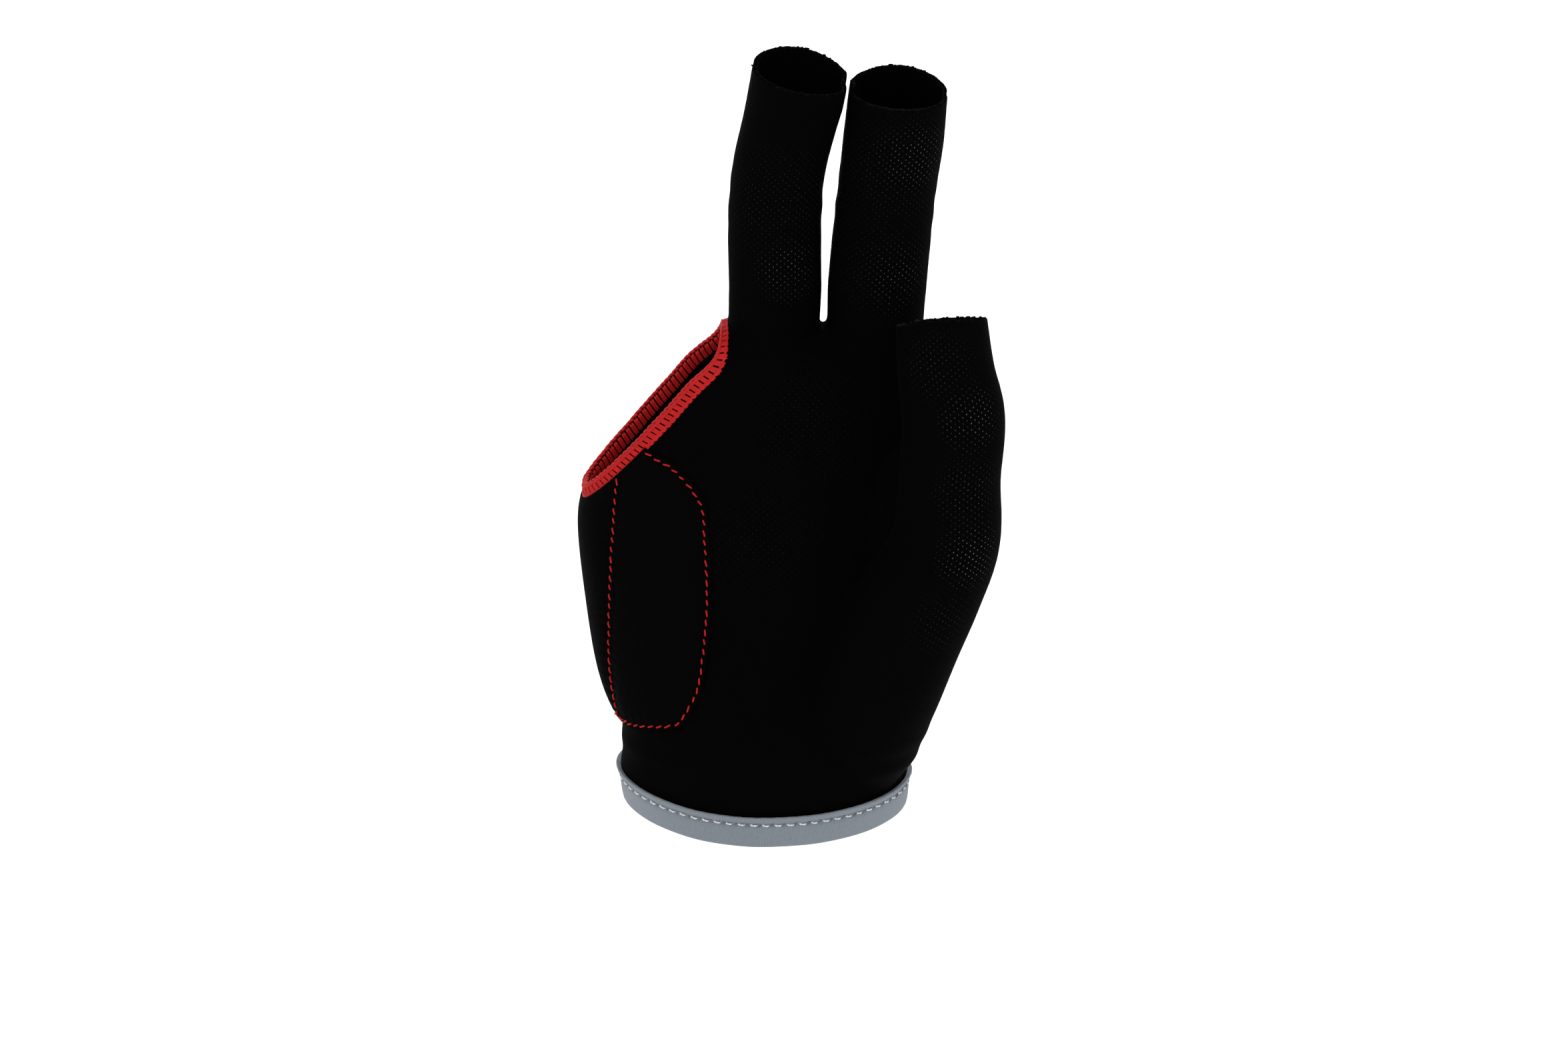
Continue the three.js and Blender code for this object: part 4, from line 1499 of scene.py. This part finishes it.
def dot_lattice(finish, u, v):
    """One at each hole of the knit's pin-dot mesh and zero between. Rows are half a step apart."""
    fields = []
    for shift in (0.0, 0.5):
        cell = []
        for place, pitch in ((u, DOT_COLUMNS), (v, DOT_ROWS)):
            along = finish.math("ADD", finish.math("DIVIDE", place, pitch), shift)
            cell.append(finish.math("SUBTRACT", finish.math("FRACT", along), 0.5))
        across = finish.math("POWER", finish.times(cell[0], DOT_NARROWING), 2.0)
        far = finish.math("SQRT", finish.math("ADD", across, finish.math("POWER", cell[1], 2.0)))
        fields.append(finish.ramp(far, 0.05, 0.13, 1.0, 0.0, "SMOOTHSTEP"))
    return finish.math("MAXIMUM", *fields)


def stretched_and_lit_zone(finish):
    """Soft patches round the places where the mesh is stretched and lit, whose dots get painted
    highlight.
    """
    total = 0.0
    for x, y, z, radius, amount in STRETCHED_AND_LIT:
        ends = {0: finish.place(), 1: (x * MM, y * MM, z * MM)}
        away = finish.node("ShaderNodeVectorMath", ends, output="Value", operation="DISTANCE")
        patch = finish.ramp(away, 0.0, radius * MM, amount, 0.0, "SMOOTHSTEP")
        total = finish.math("MAXIMUM", total, patch)
    return total


def knit_finish():
    finish = Finish("knit_black", Roughness=0.8, **BLACK_SHINE)
    u, v = finish.weave_parts()
    dot = dot_lattice(finish, u, v)
    wales = finish.wave(u, 0.45)
    slant = finish.math("ADD", finish.times(v, 2 * math.pi / 0.36), finish.times(wales, 0.9))
    courses = finish.math("SINE", slant)
    knit = finish.math("MULTIPLY_ADD", wales, 0.5, finish.times(courses, 0.5))
    fuzz = finish.noise(1900.0, roughness=0.6)
    cloud = finish.noise(90.0, detail=3.0, roughness=0.55)
    ground = finish.mix(cloud, grey(KNIT_BLACK * 0.75), grey(KNIT_BLACK * 1.3))
    ground = finish.mix(finish.times(fuzz, 0.35), ground, grey(KNIT_BLACK * 2.2))
    uneven = finish.ramp(finish.noise(900.0, detail=1.0), 0.36, 0.62, 0.12, 1.0)
    # The dots are mixed in light grey only in the stretched and lit patches: partly the open mesh,
    # partly painted highlight.
    lit_dots = finish.times(finish.times(dot, stretched_and_lit_zone(finish)), uneven)
    relief = finish.bump(knit, 0.35, 0.00012)
    relief = finish.bump(finish.math("SUBTRACT", 1.0, dot), 0.5, 0.00018, relief)
    relief = finish.bump(fuzz, 0.25, 0.0001, relief)
    return finish.made(finish.mix(lit_dots, ground, DOT_HIGHLIGHT_COLOUR), relief)


def pad_finish():
    finish = Finish("pad_cover_black", Roughness=0.78, **BLACK_SHINE)
    u, v = finish.weave_parts()
    knit = finish.times(finish.wave(u, 0.5), finish.wave(v, 0.4))
    fuzz = finish.noise(1700.0)
    ground = finish.mix(finish.noise(70.0, detail=3.0), grey(0.0005), grey(0.0009))
    relief = finish.bump(fuzz, 0.25, 0.0001, finish.bump(knit, 0.4, 0.00012))
    return finish.made(finish.mix(finish.times(fuzz, 0.3), ground, grey(0.002)), relief)


def red_finish():
    sheen = {"Sheen_Weight": 0.015, "Sheen_Roughness": 0.4, "Sheen_Tint": (1.0, 0.35, 0.3, 1.0)}
    finish = Finish("red_thread", Roughness=0.55, Specular_IOR_Level=0.1, **sheen)
    fibres = finish.noise(2600.0, roughness=0.65)
    colour = finish.mix(finish.noise(300.0), (0.33, 0.006, 0.006, 1.0), (0.48, 0.01, 0.01, 1.0))
    colour = finish.mix(finish.times(fibres, 0.55), colour, (0.16, 0.003, 0.004, 1.0))
    return finish.made(colour, finish.bump(fibres, 0.5, 0.00012))


def tape_finish():
    sheen = {"Sheen_Weight": 0.15, "Sheen_Roughness": 0.45}
    finish = Finish("grey_tape", Roughness=0.7, Specular_IOR_Level=0.3, **sheen)
    u, v = finish.weave_parts()
    picks = finish.times(finish.wave(v, 0.2), 0.25)
    woven = finish.math("MULTIPLY_ADD", finish.wave(u, 0.34), 0.75, picks)
    light = finish.mix(finish.noise(60.0), (0.148, 0.172, 0.2, 1.0), (0.186, 0.21, 0.238, 1.0))
    colour = finish.mix(finish.ramp(woven, -1.0, 1.0), (0.108, 0.13, 0.154, 1.0), light)
    colour = finish.mix(finish.times(finish.noise(1500.0), 0.25), colour, (0.27, 0.306, 0.344, 1.0))
    return finish.made(colour, finish.bump(woven, 0.6, 0.00012))


# Dark grey for the painted shade in the wrist tape's needle holes.
def hole_shade_finish():
    finish = Finish("dark_grey_hole_shade", Roughness=0.6, Sheen_Weight=0.1)
    colour = finish.mix(finish.noise(2400.0), (0.05, 0.058, 0.065, 1.0), (0.12, 0.135, 0.15, 1.0))
    return finish.made(colour)


def light_thread_finish():
    finish = Finish("light_thread", Roughness=0.5, Sheen_Weight=0.1)
    fibres = finish.noise(2400.0)
    colour = finish.mix(fibres, (0.38, 0.4, 0.42, 1.0), (0.66, 0.68, 0.7, 1.0))
    return finish.made(colour, finish.bump(fibres, 0.4, 0.0001))


def floor_finish():
    finish = Finish("pale_floor", Roughness=0.6)
    return finish.made(finish.mix(finish.noise(12.0), grey(0.94), grey(0.96)))


def given(piece, material):
    piece.data.materials.clear()
    piece.data.materials.append(material)


def softly_shaded(piece, angle=math.radians(50)):
    take(piece)
    bpy.ops.object.shade_smooth_by_angle(angle=angle)


# The stage: floor, light and camera

FLOOR_HEIGHT = -61.0
AIM = Vector((0.0, 0.0, 92.0)) * MM
CAMERA_DISTANCE = 990.0
CAMERA_ELEVATION = 18.0
AIM_PIXEL = (1147, 643)


def put_on_stage(name, data, place, looks):
    """A lamp or a camera at a place, looking in a direction."""
    thing = bpy.data.objects.new(name, data)
    bpy.context.scene.collection.objects.link(thing)
    thing.location = place
    thing.rotation_mode = "QUATERNION"
    thing.rotation_quaternion = looks.to_track_quat("-Z", "Y")
    return thing


def camera():
    data = bpy.data.cameras.new("camera")
    data.lens = 100.0
    data.sensor_width = 36.0
    data.shift_x = (PHOTO_WIDTH / 2 - AIM_PIXEL[0]) / PHOTO_WIDTH
    data.shift_y = -(PHOTO_HEIGHT / 2 - AIM_PIXEL[1]) / PHOTO_WIDTH
    data.dof.use_dof = False
    rise = math.radians(CAMERA_ELEVATION)
    back = Vector((0.0, -math.cos(rise), math.sin(rise)))
    bpy.context.scene.camera = put_on_stage("camera", data, AIM + back * CAMERA_DISTANCE * MM, -back)


def soft_light(name, place, size, power):
    data = bpy.data.lights.new(name, "AREA")
    data.shape = "DISK"
    data.size = size
    data.energy = power
    put_on_stage(name, data, place, AIM - Vector(place))


def stage():
    bpy.context.scene.view_settings.view_transform = "Standard"
    low = (0, 0, FLOOR_HEIGHT * MM)
    floor = added("floor", bpy.ops.mesh.primitive_plane_add, size=8.0, location=low)
    given(floor, floor_finish())
    soft_light("key", (-0.7, -1.1, 1.3), 0.9, 11.0)
    soft_light("fill", (1.2, -0.8, 0.7), 0.9, 5.0)
    soft_light("back", (0.2, 1.2, 1.1), 1.0, 8.0)
    world = bpy.data.worlds.new("studio")
    bpy.context.scene.world = world
    world.use_nodes = True
    background = world.node_tree.nodes["Background"]
    background.inputs["Color"].default_value = (1.0, 1.0, 1.0, 1.0)
    background.inputs["Strength"].default_value = 1.0


def finished_piece(piece, material, slot, *nodes):
    given(piece, material)
    softly_shaded(piece)
    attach(piece, "root")
    if nodes:
        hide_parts(*nodes)


camera()
stage()

palm, back, thumb, seams = knit_panels()
knit = knit_finish()
finished_piece(palm, knit, "knit", "palm_panel")
finished_piece(back, knit, "knit", "back_panel")
finished_piece(thumb, knit, "knit", "thumb_sleeve")

finished_piece(rim_fuzz(seams["rims"]), knit, "knit")

pad = heel_pad_cover()
finished_piece(pad, pad_finish(), "pad_cover", "heel_pad")

red = red_finish()
finished_piece(pad_stitches(), red, "red_thread")
finished_piece(overlock_edge(seams["opening"]), red, "red_thread", "edge_overlock")

tape, stitch_count = wrist_tape()
finished_piece(tape, tape_finish(), "grey_tape", "wrist_binding")
light_stitches, dark_hole_shades = wrist_stitches(stitch_count)
finished_piece(light_stitches, light_thread_finish(), "grey_tape")
finished_piece(dark_hole_shades, hole_shade_finish(), "grey_tape")
